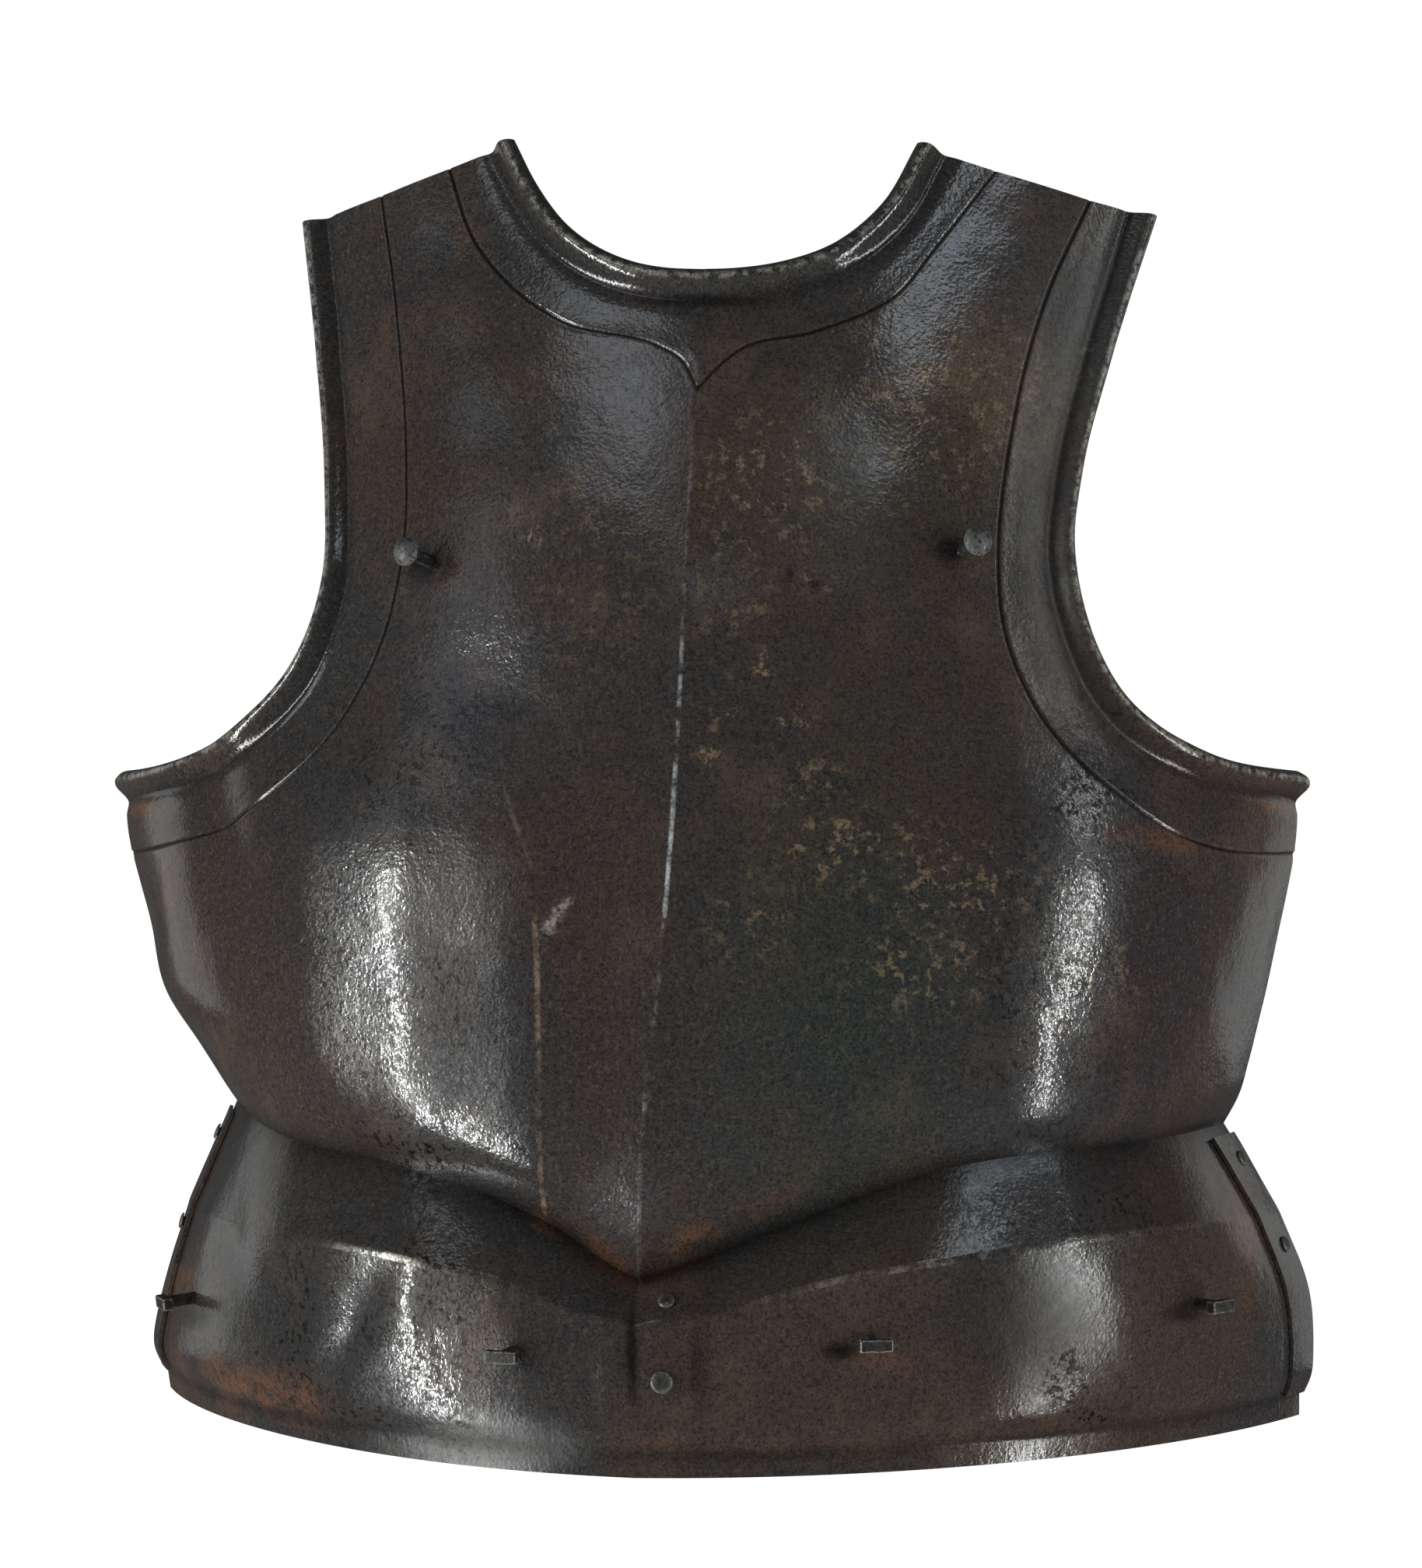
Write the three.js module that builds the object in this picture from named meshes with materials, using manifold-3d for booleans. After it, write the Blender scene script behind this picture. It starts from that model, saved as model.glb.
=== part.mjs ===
// Breastplate of dark forged steel, millimetres, +Z up, front facing -Y, wearer's left side at +X.
// One sheet makes the chest, the turned neck and arm edges and the flanged skirt.
// Riveted to it are two side plates, two strap studs, the lap rivets and four turning pins.
import * as THREE from 'three';
import { mergeVertices } from 'three/addons/utils/BufferGeometryUtils.js';
import Module from 'manifold-3d';

// Driving dimensions
const SHEET_THICKNESS = 2.0;
const SIDE_PLATE_THICKNESS = 1.2;
const SEAT_GAP = 0.3;
const STANDING_TOLERANCE = 0.01;
const WRAP = THREE.MathUtils.degToRad(72);
const BOX_CENTRE_X = -6.35;
const BOX_CENTRE_Y = -79.83;

// The chest is a stack of cross-sections. A level is a height above the standing edge, except
// that levels near the waist sag to follow the pointed waist crease.
const WAIST_LEVEL = 100;
const SAG_END_LEVEL = 190;
const SECTIONS = [
  { level: 100, ridgeX: -6.6, ridgeY: -139, leftX: -158, rightX: 158.5, sideY: -8, box: 0.15, keel: 0.22 },
  { level: 106, ridgeX: -6, ridgeY: -144.5, leftX: -163, rightX: 162, sideY: -8, box: 0.14, keel: 0.24 },
  { level: 118, ridgeX: -4.6, ridgeY: -150.5, leftX: -172, rightX: 166, sideY: -7, box: 0.12, keel: 0.26 },
  { level: 133, ridgeX: -2.6, ridgeY: -151.5, leftX: -182.5, rightX: 170, sideY: -6, box: 0.1, keel: 0.27 },
  { level: 150, ridgeX: 0, ridgeY: -149.5, leftX: -187, rightX: 174, sideY: -4, box: 0.09, keel: 0.26 },
  { level: 187, ridgeX: 2.8, ridgeY: -141, leftX: -196, rightX: 180.5, sideY: 0, box: 0.04, keel: 0.2 },
  { level: 235, ridgeX: 3.6, ridgeY: -126, leftX: -180, rightX: 173, sideY: 4, box: -0.04, keel: 0.16 },
  { level: 285, ridgeX: 3.2, ridgeY: -108, leftX: -164, rightX: 160, sideY: 7, box: -0.06, keel: 0.12 },
  { level: 340, ridgeX: 3, ridgeY: -82, leftX: -157, rightX: 155, sideY: 10, box: -0.06, keel: 0.06 },
  { level: 410, ridgeX: 3, ridgeY: -44, leftX: -155, rightX: 153, sideY: 14, box: -0.06, keel: 0.02 },
];
const WAIST_CREASE = [
  { share: 0.00, left: 58.0, right: 58.0 },
  { share: 0.04, left: 62.0, right: 61.0 },
  { share: 0.08, left: 67.6, right: 64.7 },
  { share: 0.12, left: 73.0, right: 68.6 },
  { share: 0.18, left: 78.6, right: 74.4 },
  { share: 0.24, left: 83.1, right: 79.7 },
  { share: 0.30, left: 86.2, right: 85.0 },
  { share: 0.40, left: 90.4, right: 91.3 },
  { share: 0.50, left: 91.4, right: 94.0 },
  { share: 0.65, left: 93.5, right: 94.9 },
  { share: 0.80, left: 95.5, right: 94.2 },
  { share: 1.00, left: 96.0, right: 93.0 },
];

// The skirt is lofted through rings, from the waist crease down to the standing edge.
const SKIRT_CREASE = [
  { share: 0.00, left: 45.5, right: 45.5 },
  { share: 0.08, left: 49.0, right: 47.5 },
  { share: 0.12, left: 52.4, right: 50.0 },
  { share: 0.18, left: 57.0, right: 55.0 },
  { share: 0.24, left: 59.2, right: 58.8 },
  { share: 0.30, left: 61.2, right: 61.5 },
  { share: 0.40, left: 63.7, right: 64.6 },
  { share: 0.50, left: 64.7, right: 67.0 },
  { share: 0.65, left: 64.3, right: 68.3 },
  { share: 1.00, left: 62.0, right: 64.5 },
];
const BULGE_HEIGHT = 17;
const LIP_HEIGHT = 7;
const WALL_MIX = 0.5;
const RINGS = {
  crease: { ridgeX: -6.6, ridgeY: -152, leftX: -173.5, rightX: 174.8, sideY: -6, box: 0.1, keel: 0.14 },
  wall: { ridgeX: -6, ridgeY: -155.5, leftX: -180.5, rightX: 184, sideY: -5, box: 0.04, keel: 0.11 },
  bulge: { ridgeX: -5.5, ridgeY: -157.5, leftX: -186, rightX: 185.5, sideY: -4, box: -0.02, keel: 0.1 },
  lipTop: { ridgeX: -5, ridgeY: -157, leftX: -183, rightX: 182.5, sideY: -4, box: -0.06, keel: 0.1 },
  foot: { ridgeX: -5, ridgeY: -158.5, leftX: -182, rightX: 182.5, sideY: -4, box: -0.08, keel: 0.1 },
};
const SKIRT = { waist: 0, crease: 1, wall: 2, bulge: 3, lipTop: 4, foot: 5 };

// Edges and incised border lines in front view, each from its upper end downwards
const LEFT_ARM_EDGE = [
  { x: -133, height: 374 }, { x: -125, height: 333 }, { x: -118.5, height: 292 }, { x: -117, height: 268 },
  { x: -124, height: 243 }, { x: -141, height: 222 }, { x: -163, height: 208 }, { x: -196, height: 197.5 },
];
const RIGHT_ARM_EDGE = [
  { x: 135, height: 378 }, { x: 124, height: 336 }, { x: 117, height: 301 }, { x: 115.5, height: 281 },
  { x: 120, height: 257 }, { x: 134, height: 230 }, { x: 155, height: 213.5 }, { x: 181, height: 203 },
];
const LEFT_ARM_LINE = [
  { x: -107, height: 384.3 }, { x: -98, height: 344 }, { x: -92.5, height: 308 },
  { x: -90.5, height: 279 }, { x: -95, height: 252 }, { x: -113, height: 218 }, { x: -145, height: 192 },
  { x: -194.5, height: 172.5 },
];
const RIGHT_ARM_LINE = [
  { x: 117, height: 384 }, { x: 106.4, height: 357.5 }, { x: 97.3, height: 313 }, { x: 95.5, height: 275 },
  { x: 98, height: 255 }, { x: 110, height: 228 }, { x: 135.5, height: 201.5 }, { x: 158, height: 185.5 },
  { x: 179, height: 178 },
];
const LEFT_NECK_EDGE = [
  { x: -62, height: 402 }, { x: -53, height: 388 }, { x: -42.5, height: 376.5 }, { x: -19, height: 365 },
  { x: -9, height: 363.4 }, { x: 1.5, height: 363 },
];
const RIGHT_NECK_EDGE = [
  { x: 64.5, height: 401.5 }, { x: 55, height: 383 }, { x: 42, height: 371.3 }, { x: 26, height: 365.4 },
  { x: 12, height: 363.4 }, { x: 1.5, height: 363 },
];
const LEFT_NECK_LINE = [
  { x: -84, height: 393.3 }, { x: -73.3, height: 371 }, { x: -59, height: 357.3 },
  { x: -42.7, height: 348.2 }, { x: -9.3, height: 340.6 }, { x: -2.8, height: 337.2 },
  { x: 3.3, height: 328 },
];
const RIGHT_NECK_LINE = [
  { x: 88.5, height: 393.5 }, { x: 71.6, height: 370 }, { x: 61, height: 356 }, { x: 38.3, height: 345.4 },
  { x: 15.1, height: 339.6 }, { x: 10.6, height: 336 }, { x: 3.3, height: 328 },
];

// The turned edge: how far the sheet stands out at each distance from its rim
const TURNED_EDGE = [
  { distance: 0.0, height: 2.2 },
  { distance: 1.4, height: 4.0 },
  { distance: 3.2, height: 4.8 },
  { distance: 5.0, height: 4.0 },
  { distance: 6.8, height: 1.9 },
  { distance: 8.6, height: 0.0 },
  { distance: 10.2, height: -0.5 },
  { distance: 13.0, height: 0.0 },
];

// Relief of the sheet: a bent-in facet beside the ridge, and the lapped seam of the skirt
const FACET_CREASE = [
  { height: 82, x: -36.6 }, { height: 117, x: -36.8 }, { height: 164, x: -38.8 },
  { height: 187, x: -42.0 }, { height: 201, x: -49.0 }, { height: 233, x: -55.0 },
];
const FACET_RISE = 2.4;
const FACET_REACH = 24;
const FACET_BACK = 62;
const FACET_TOP = 235;
const SKIRT_CREASE_STAND = [
  { share: 0.00, left: 0.6, right: 0.6 },
  { share: 0.10, left: 2.2, right: 2.2 },
  { share: 0.30, left: 3.2, right: 3.2 },
  { share: 0.50, left: 3.0, right: 3.4 },
  { share: 0.60, left: 1.6, right: 3.2 },
  { share: 0.72, left: 0.2, right: 2.8 },
  { share: 0.84, left: 0.0, right: 1.8 },
  { share: 0.95, left: 0.0, right: 0.4 },
  { share: 1.00, left: 0.0, right: 0.0 },
];
const CREASE_FALL_ROWS = 1.1;
const LAP_SHARE = 0.08;
const LAP_STEP_SHARE = 0.004;
const LAP_RISE = 1.6;
const LAP_ROUND_SHARE = 0.03;
const LAP_LIFT = 0.4;
const LAP_GRIP = 3.2;
const LAP_FOOT = { from: 18, to: 26 };

// Fasteners
const HOLE_CLEARANCE = 0.3;
const HOLE_LENGTH = 16;
const STUD = {
  shankRadius: 2.0, height: 15, headRadius: 4.5, headDepth: 6.2, tailRadius: 3.6, tailHeight: 1.6,
};
const PIN = {
  shankRadius: 1.9, height: 11.2, headLength: 10.2, headHeight: 3.9, headDepth: 3.4, tailRadius: 3.5,
  tailHeight: 1.5, grip: 3.1,
};
const RIVET = { shankRadius: 1.5, tailRadius: 2.8, tailHeight: 1.1 };
const FASTENER_SIDES = 12;

const LEFT = -1;
const RIGHT = 1;

// Smooth value of a table column at a place between its rows
function smooth(rows, key, column, place) {
  const last = rows.length - 1;
  const at = THREE.MathUtils.clamp(place, rows[0][key], rows[last][key]);
  let i = 0;
  while (i < last - 1 && at > rows[i + 1][key]) i += 1;
  const step = (k) => rows[k + 1][key] - rows[k][key];
  const rise = (k) => (rows[k + 1][column] - rows[k][column]) / step(k);
  const slope = (k) => {
    if (k === 0) return rise(0);
    if (k === last) return rise(last - 1);
    return (rise(k - 1) * step(k) + rise(k) * step(k - 1)) / (step(k) + step(k - 1));
  };
  const h = step(i);
  const s = (at - rows[i][key]) / h;
  const r = 1 - s;
  return (1 + 2 * s) * r * r * rows[i][column] + s * r * r * h * slope(i)
    + s * s * (3 - 2 * s) * rows[i + 1][column] - s * s * r * h * slope(i + 1);
}

// How wide and how deep a section reaches at a share of its arc
const reachWide = (turn, box) => Math.sin(turn) * (1 + box * Math.cos(turn) ** 2);
const reachDeep = (turn, box) => Math.cos(turn) * (1 + box * Math.sin(turn) ** 2);

// Point of a cross-section: share 0 is on the ridge, share 1 on the side edge
function arcPoint(share, section, side, height) {
  const sideX = side === LEFT ? section.leftX : section.rightX;
  const width = sideX - section.ridgeX;
  const wide = reachWide(share * WRAP, section.box) / reachWide(WRAP, section.box);
  const deepEnd = reachDeep(WRAP, section.box);
  const deep = (reachDeep(share * WRAP, section.box) - deepEnd) / (1 - deepEnd);
  const keel = section.keel * Math.abs(width) * wide * (1 - wide) ** 2;
  const y = section.sideY - (section.sideY - section.ridgeY) * deep + keel;
  return new THREE.Vector3(section.ridgeX + width * wide, y, height);
}

function sectionAt(level) {
  const section = {};
  for (const column of ['ridgeX', 'ridgeY', 'leftX', 'rightX', 'sideY', 'box', 'keel']) {
    section[column] = smooth(SECTIONS, 'level', column, level);
  }
  return section;
}

const sideName = (side) => (side === LEFT ? 'left' : 'right');

function heightOf(share, level, side) {
  const sag = WAIST_LEVEL - smooth(WAIST_CREASE, 'share', sideName(side), share);
  const fade = THREE.MathUtils.clamp((SAG_END_LEVEL - level) / (SAG_END_LEVEL - WAIST_LEVEL), 0, 1);
  return level - sag * fade * fade;
}

const chestPoint = (share, level, side) => (
  arcPoint(share, sectionAt(level), side, heightOf(share, level, side))
);

function ringPoint(name, share, side, height) {
  return arcPoint(share, RINGS[name], side, height);
}

// Point of the skirt: row 0 is the waist crease and row 5 the standing edge
function skirtPoint(share, row, side) {
  const creaseHeight = smooth(SKIRT_CREASE, 'share', sideName(side), share);
  const waist = chestPoint(share, WAIST_LEVEL, side);
  const crease = ringPoint('crease', share, side, creaseHeight);
  if (row <= SKIRT.crease) return waist.lerp(crease, row);
  const wallHeight = THREE.MathUtils.lerp(BULGE_HEIGHT, creaseHeight, WALL_MIX);
  const wall = ringPoint('wall', share, side, wallHeight);
  const bulge = ringPoint('bulge', share, side, BULGE_HEIGHT);
  const lipTop = ringPoint('lipTop', share, side, LIP_HEIGHT);
  if (row >= SKIRT.lipTop) return lipTop.lerp(ringPoint('foot', share, side, 0), row - SKIRT.lipTop);
  const rows = [crease, wall, bulge, lipTop].map((p, k) => ({ row: k + 1, x: p.x, y: p.y, z: p.z }));
  return new THREE.Vector3(...['x', 'y', 'z'].map((axis) => smooth(rows, 'row', axis, row)));
}

// Outward normal of a surface given by share and row; both halves meet in one normal on the ridge
function normalOf(surface, share, row, side, rowStep, down) {
  if (share < 1e-6 && side !== 0) {
    const left = normalOf(surface, 1e-3, row, LEFT, rowStep, down);
    const right = normalOf(surface, 1e-3, row, RIGHT, rowStep, down);
    return left.add(right).normalize();
  }
  const across = surface(Math.min(share + 2e-3, 1.002), row, side).sub(surface(share, row, side));
  const along = surface(share, row + rowStep, side).sub(surface(share, row, side));
  const normal = across.cross(along).multiplyScalar(side * (down ? -1 : 1));
  return normal.normalize();
}
const chestNormal = (share, level, side) => normalOf(chestPoint, share, level, side, 0.5, false);
const skirtNormal = (share, row, side) => (
  normalOf(skirtPoint, share, row, side, row > SKIRT.foot - 0.02 ? -0.01 : 0.01, row <= SKIRT.foot - 0.02)
);

// Share of the section whose point has this x at this height
function shareAt(x, height, side) {
  let level = height;
  let share = 0;
  for (let pass = 0; pass < 6; pass += 1) {
    const section = sectionAt(level);
    const sideX = side === LEFT ? section.leftX : section.rightX;
    const target = THREE.MathUtils.clamp((x - section.ridgeX) / (sideX - section.ridgeX), 0, 1);
    let low = 0;
    let high = 1;
    for (let k = 0; k < 30; k += 1) {
      share = (low + high) / 2;
      if (reachWide(share * WRAP, section.box) / reachWide(WRAP, section.box) < target) low = share;
      else high = share;
    }
    level += height - heightOf(share, level, side);
  }
  return { share, level };
}

// A smooth curve in front view, read by its length from 0 at the first end named to 1
function frontCurve(points, side) {
  const path = [];
  let length = 0;
  points.forEach(({ x, height }, k) => {
    if (k > 0) length += Math.hypot(x - points[k - 1].x, height - points[k - 1].height);
    path.push({ length, x, z: height });
  });
  const fine = [];
  const count = 160;
  for (let k = 0; k <= count; k += 1) {
    const at = (length * k) / count;
    fine.push({ x: smooth(path, 'length', 'x', at), z: smooth(path, 'length', 'z', at), run: 0 });
    if (k > 0) {
      const step = Math.hypot(fine[k].x - fine[k - 1].x, fine[k].z - fine[k - 1].z);
      fine[k].run = fine[k - 1].run + step;
    }
  }
  const total = fine[count].run;
  return (part) => {
    const run = THREE.MathUtils.clamp(part, 0, 1) * total;
    let i = 0;
    while (i < count - 1 && fine[i + 1].run < run) i += 1;
    const mix = (run - fine[i].run) / (fine[i + 1].run - fine[i].run);
    const x = THREE.MathUtils.lerp(fine[i].x, fine[i + 1].x, mix);
    const z = THREE.MathUtils.lerp(fine[i].z, fine[i + 1].z, mix);
    return shareAt(x, z, side);
  };
}

// Relief of the chest sheet away from its edges, positive outwards
function chestRelief(point, level) {
  let relief = 0;
  const rise = Math.min((level - WAIST_LEVEL) / 10, 1);
  if (point.x < 0 && point.z < FACET_TOP) {
    const away = point.x - smooth(FACET_CREASE, 'height', 'x', point.z);
    const fade = THREE.MathUtils.clamp((FACET_TOP - point.z) / 90, 0, 1);
    const near = Math.max(1 - away / FACET_REACH, 0) ** 2;
    const back = 1 - THREE.MathUtils.smoothstep(-away, 0, FACET_BACK);
    relief += FACET_RISE * (away > 0 ? near : back) * fade * rise;
  }
  return relief;
}

// Relief of the skirt: the second crease, and the lapped seam that steps down at its free edge
function skirtRelief(point, share, row, side) {
  const fade = THREE.MathUtils.smoothstep(point.z, LAP_FOOT.from, LAP_FOOT.to);
  const start = THREE.MathUtils.clamp(row * 4, 0, 1);
  let lap = 0;
  if (side === RIGHT && share < LAP_SHARE + LAP_STEP_SHARE) {
    const up = THREE.MathUtils.smoothstep(share, 0, LAP_ROUND_SHARE);
    const down = THREE.MathUtils.clamp((LAP_SHARE + LAP_STEP_SHARE - share) / LAP_STEP_SHARE, 0, 1);
    lap = LAP_RISE * up * down;
  }
  const beyond = row < SKIRT.crease ? 1 - row : (row - SKIRT.crease) / CREASE_FALL_ROWS;
  const crease = smooth(SKIRT_CREASE_STAND, 'share', sideName(side), share) * Math.max(1 - beyond, 0);
  return lap * fade * start + crease;
}

function chestVertex(share, level, side, stand) {
  const point = chestPoint(share, level, side);
  return point.addScaledVector(chestNormal(share, level, side), chestRelief(point, level) + stand);
}

function skirtVertex(share, row, side) {
  const point = skirtPoint(share, row, side);
  const relief = row > 0 ? skirtRelief(point, share, row, side) : 0;
  if (relief === 0) return point;
  return point.addScaledVector(skirtNormal(share, row, side), relief);
}

// A triangle mesh that joins its patches where their corners coincide
class Mesh {
  constructor() {
    this.points = [];
    this.faces = [];
    this.index = new Map();
  }

  vertex(point) {
    const key = point.toArray().map((v) => Math.round(v * 1000)).join(' ');
    if (!this.index.has(key)) {
      this.index.set(key, this.points.length);
      this.points.push(point);
    }
    return this.index.get(key);
  }

  quad(a, b, c, d) {
    for (const face of [[a, b, c], [a, c, d]]) {
      if (new Set(face).size === 3) this.faces.push(face);
    }
  }

  // Rows and columns of points; turned says that the rows run the other way round
  patch(rows, turned) {
    const ids = rows.map((row) => row.map((point) => this.vertex(point)));
    for (let r = 0; r + 1 < ids.length; r += 1) {
      for (let c = 0; c + 1 < ids[r].length; c += 1) {
        const loop = [ids[r][c], ids[r][c + 1], ids[r + 1][c + 1], ids[r + 1][c]];
        if (turned) loop.reverse();
        this.quad(...loop);
      }
    }
  }

  // Makes the open sheet a closed solid of even thickness, with its standing edge cut level
  thicken(thickness) {
    const count = this.points.length;
    const normals = this.points.map(() => new THREE.Vector3());
    const flat = this.faces.map(([a, b, c]) => new THREE.Triangle(
      this.points[a], this.points[b], this.points[c],
    ).getNormal(new THREE.Vector3()));
    this.faces.forEach((face, k) => face.forEach((id, corner) => {
      const one = this.points[face[(corner + 1) % 3]].clone().sub(this.points[id]);
      const two = this.points[face[(corner + 2) % 3]].clone().sub(this.points[id]);
      normals[id].addScaledVector(flat[k], one.angleTo(two));
    }));
    const lean = this.points.map(() => ({ sum: 0, weight: 0 }));
    normals.forEach((normal) => normal.normalize());
    this.faces.forEach((face, k) => face.forEach((id) => {
      lean[id].sum += normals[id].dot(flat[k]);
      lean[id].weight += 1;
    }));
    for (let id = 0; id < count; id += 1) {
      const mitre = 1 / Math.max(lean[id].sum / lean[id].weight, 0.75);
      const inner = this.points[id].clone().addScaledVector(normals[id], -thickness * mitre);
      if (this.points[id].z < STANDING_TOLERANCE) inner.z = 0;
      this.points.push(inner);
    }
    const open = new Map();
    for (const [a, b, c] of this.faces) {
      for (const [from, to] of [[a, b], [b, c], [c, a]]) {
        if (!open.delete(`${to} ${from}`)) open.set(`${from} ${to}`, [from, to]);
      }
    }
    for (const [a, b, c] of [...this.faces]) this.faces.push([a + count, c + count, b + count]);
    for (const [from, to] of open.values()) this.quad(to, from, from + count, to + count);
  }

  geometry() {
    const geometry = new THREE.BufferGeometry();
    const flat = this.points.flatMap((point) => point.toArray());
    geometry.setAttribute('position', new THREE.Float32BufferAttribute(flat, 3));
    geometry.setIndex(this.faces.flat());
    return geometry;
  }
}

// Columns and rows of the sheet's patches
const COLUMNS = [0, 0.03, 0.055, 0.08, 0.084, 0.14, 0.22, 0.32, 0.42, 0.52, 0.62, 0.72, 0.81, 0.9, 0.96, 1];
const RIDGE_ROWS = 17;
const SHOULDER_ROWS = 8;
const RIDGE_PART = RIDGE_ROWS / (RIDGE_ROWS + SHOULDER_ROWS);
const SIDE_ROWS = 7;
const SIDE_PART = SIDE_ROWS / (RIDGE_ROWS + SHOULDER_ROWS);
const SKIRT_ROWS = [0, 0.5, 1, 1.35, 1.7, 2, 2.35, 2.7, 3, 3.5, 4, 5];
const BAND_DISTANCES = [0, 1.4, 3.2, 5, 6.8, 8.6, 10.2, 13];
const BAND_MIDDLE = 0.5;

const blend = (a, b, mix) => ({
  share: THREE.MathUtils.lerp(a.share, b.share, mix), level: THREE.MathUtils.lerp(a.level, b.level, mix),
});

// One half of the chest: the main panel between the ridge and the incised lines, and the two
// border bands between those lines and the turned edges
function addHalf(sheet, side) {
  const armEdge = frontCurve(side === LEFT ? LEFT_ARM_EDGE : RIGHT_ARM_EDGE, side);
  const armLine = frontCurve(side === LEFT ? LEFT_ARM_LINE : RIGHT_ARM_LINE, side);
  const neckEdge = frontCurve(side === LEFT ? LEFT_NECK_EDGE : RIGHT_NECK_EDGE, side);
  const neckLine = frontCurve(side === LEFT ? LEFT_NECK_LINE : RIGHT_NECK_LINE, side);
  const onSideEdge = (place) => ({ share: 1, level: place.level });
  const onRidge = (place) => ({ share: 0, level: place.level });

  const armLineAt = (part) => (part === 0 ? onSideEdge(armLine(1)) : armLine(1 - part));
  const armEdgeAt = (part) => (part === 0 ? onSideEdge(armEdge(1)) : armEdge(1 - part));
  const neckLineAt = (part) => (part === 0 ? onRidge(neckLine(1)) : neckLine(1 - part));
  const neckEdgeAt = (part) => (part === 0 ? onRidge(neckEdge(1)) : neckEdge(1 - part));

  const ridgeTop = neckLineAt(0);
  const sideTop = armLineAt(0);
  const inner = (row) => (row <= RIDGE_PART
    ? blend({ share: 0, level: WAIST_LEVEL }, ridgeTop, row / RIDGE_PART)
    : neckLineAt((row - RIDGE_PART) / (1 - RIDGE_PART)));
  const outer = (row) => (row <= SIDE_PART
    ? blend({ share: 1, level: WAIST_LEVEL }, sideTop, row / SIDE_PART)
    : armLineAt((row - SIDE_PART) / (1 - SIDE_PART)));

  const count = RIDGE_ROWS + SHOULDER_ROWS;
  const panel = [];
  for (let r = 0; r <= count; r += 1) {
    panel.push(COLUMNS.map((column) => {
      const place = blend(inner(r / count), outer(r / count), column);
      return chestVertex(place.share, place.level, side, 0);
    }));
  }
  sheet.patch(panel, side === LEFT);

  // A band between an incised line and a turned edge, with rows at set distances from the rim
  const bandRow = (line, edge) => {
    const places = [];
    const rim = chestPoint(edge.share, edge.level, side);
    const width = chestPoint(line.share, line.level, side).distanceTo(rim);
    for (const distance of BAND_DISTANCES) {
      const place = blend(edge, line, distance / width);
      const stand = smooth(TURNED_EDGE, 'distance', 'height', distance);
      places.unshift(chestVertex(place.share, place.level, side, stand));
    }
    const reach = BAND_DISTANCES[BAND_DISTANCES.length - 1] / width;
    const middle = blend(edge, line, THREE.MathUtils.lerp(reach, 1, BAND_MIDDLE));
    places.unshift(chestVertex(middle.share, middle.level, side, 0));
    places.unshift(chestVertex(line.share, line.level, side, 0));
    return places;
  };
  const armBand = [];
  for (let r = SIDE_ROWS; r <= count; r += 1) {
    const part = (r / count - SIDE_PART) / (1 - SIDE_PART);
    armBand.push(bandRow(armLineAt(part), armEdgeAt(part)));
  }
  sheet.patch(armBand, side === LEFT);
  const neckBand = [];
  for (let r = RIDGE_ROWS; r <= count; r += 1) {
    const part = (r / count - RIDGE_PART) / (1 - RIDGE_PART);
    neckBand.push(bandRow(neckLineAt(part), neckEdgeAt(part)));
  }
  sheet.patch(neckBand, side === RIGHT);

  const skirt = SKIRT_ROWS.map((row) => COLUMNS.map((share) => (
    row === 0 ? chestVertex(share, WAIST_LEVEL, side, 0) : skirtVertex(share, row, side))));
  sheet.patch(skirt, side === RIGHT);
}

// manifold-3d joins and cuts the closed meshes
const wasm = await Module();
wasm.setup();

function solidOf(geometry) {
  const bare = geometry.clone();
  bare.deleteAttribute('normal');
  bare.deleteAttribute('uv');
  const merged = mergeVertices(bare, 1e-4);
  const kept = [];
  const ids = merged.index.array;
  for (let k = 0; k < ids.length; k += 3) {
    const face = [ids[k], ids[k + 1], ids[k + 2]];
    if (new Set(face).size === 3) kept.push(...face);
  }
  const vertProperties = new Float32Array(merged.attributes.position.array);
  return new wasm.Manifold(new wasm.Mesh({ numProp: 3, vertProperties, triVerts: new Uint32Array(kept) }));
}

function geometryOf(solid) {
  const mesh = solid.getMesh();
  const geometry = new THREE.BufferGeometry();
  geometry.setAttribute('position', new THREE.Float32BufferAttribute(mesh.vertProperties, 3));
  geometry.setIndex([...mesh.triVerts]);
  geometry.computeVertexNormals();
  return geometry;
}

// Materials
const darkSteel = () => new THREE.MeshStandardMaterial({ color: 0x3a3532, roughness: 0.42, metalness: 0.85 });
const wornSteel = () => new THREE.MeshStandardMaterial({ color: 0x56524e, roughness: 0.36, metalness: 0.9 });

// Seats of the fasteners: each stands on the surface, along its axis
function chestSeat(x, height, side) {
  const place = shareAt(x, height, side);
  const axis = chestNormal(place.share, place.level, side);
  return { at: chestPoint(place.share, place.level, side), axis };
}
function skirtSeat(share, row, side, lift = 0) {
  const at = skirtVertex(share, row, side);
  const axis = skirtNormal(share, row, side);
  return { at: at.addScaledVector(axis, lift), axis };
}

// Row of the skirt wall at a height
function rowAt(share, height, side) {
  let low = 0;
  let high = SKIRT.foot;
  for (let k = 0; k < 30; k += 1) {
    const row = (low + high) / 2;
    if (skirtPoint(share, row, side).z > height) low = row;
    else high = row;
  }
  return low;
}

// Local frame of a fastener: its Y axis stands out of the sheet and its X axis lies level
function frameOf(seat) {
  const level = new THREE.Vector3(0, 0, 1).cross(seat.axis).normalize();
  const up = seat.axis.clone().cross(level).normalize();
  return new THREE.Matrix4().makeBasis(level, seat.axis, up.negate()).setPosition(seat.at);
}

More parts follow.
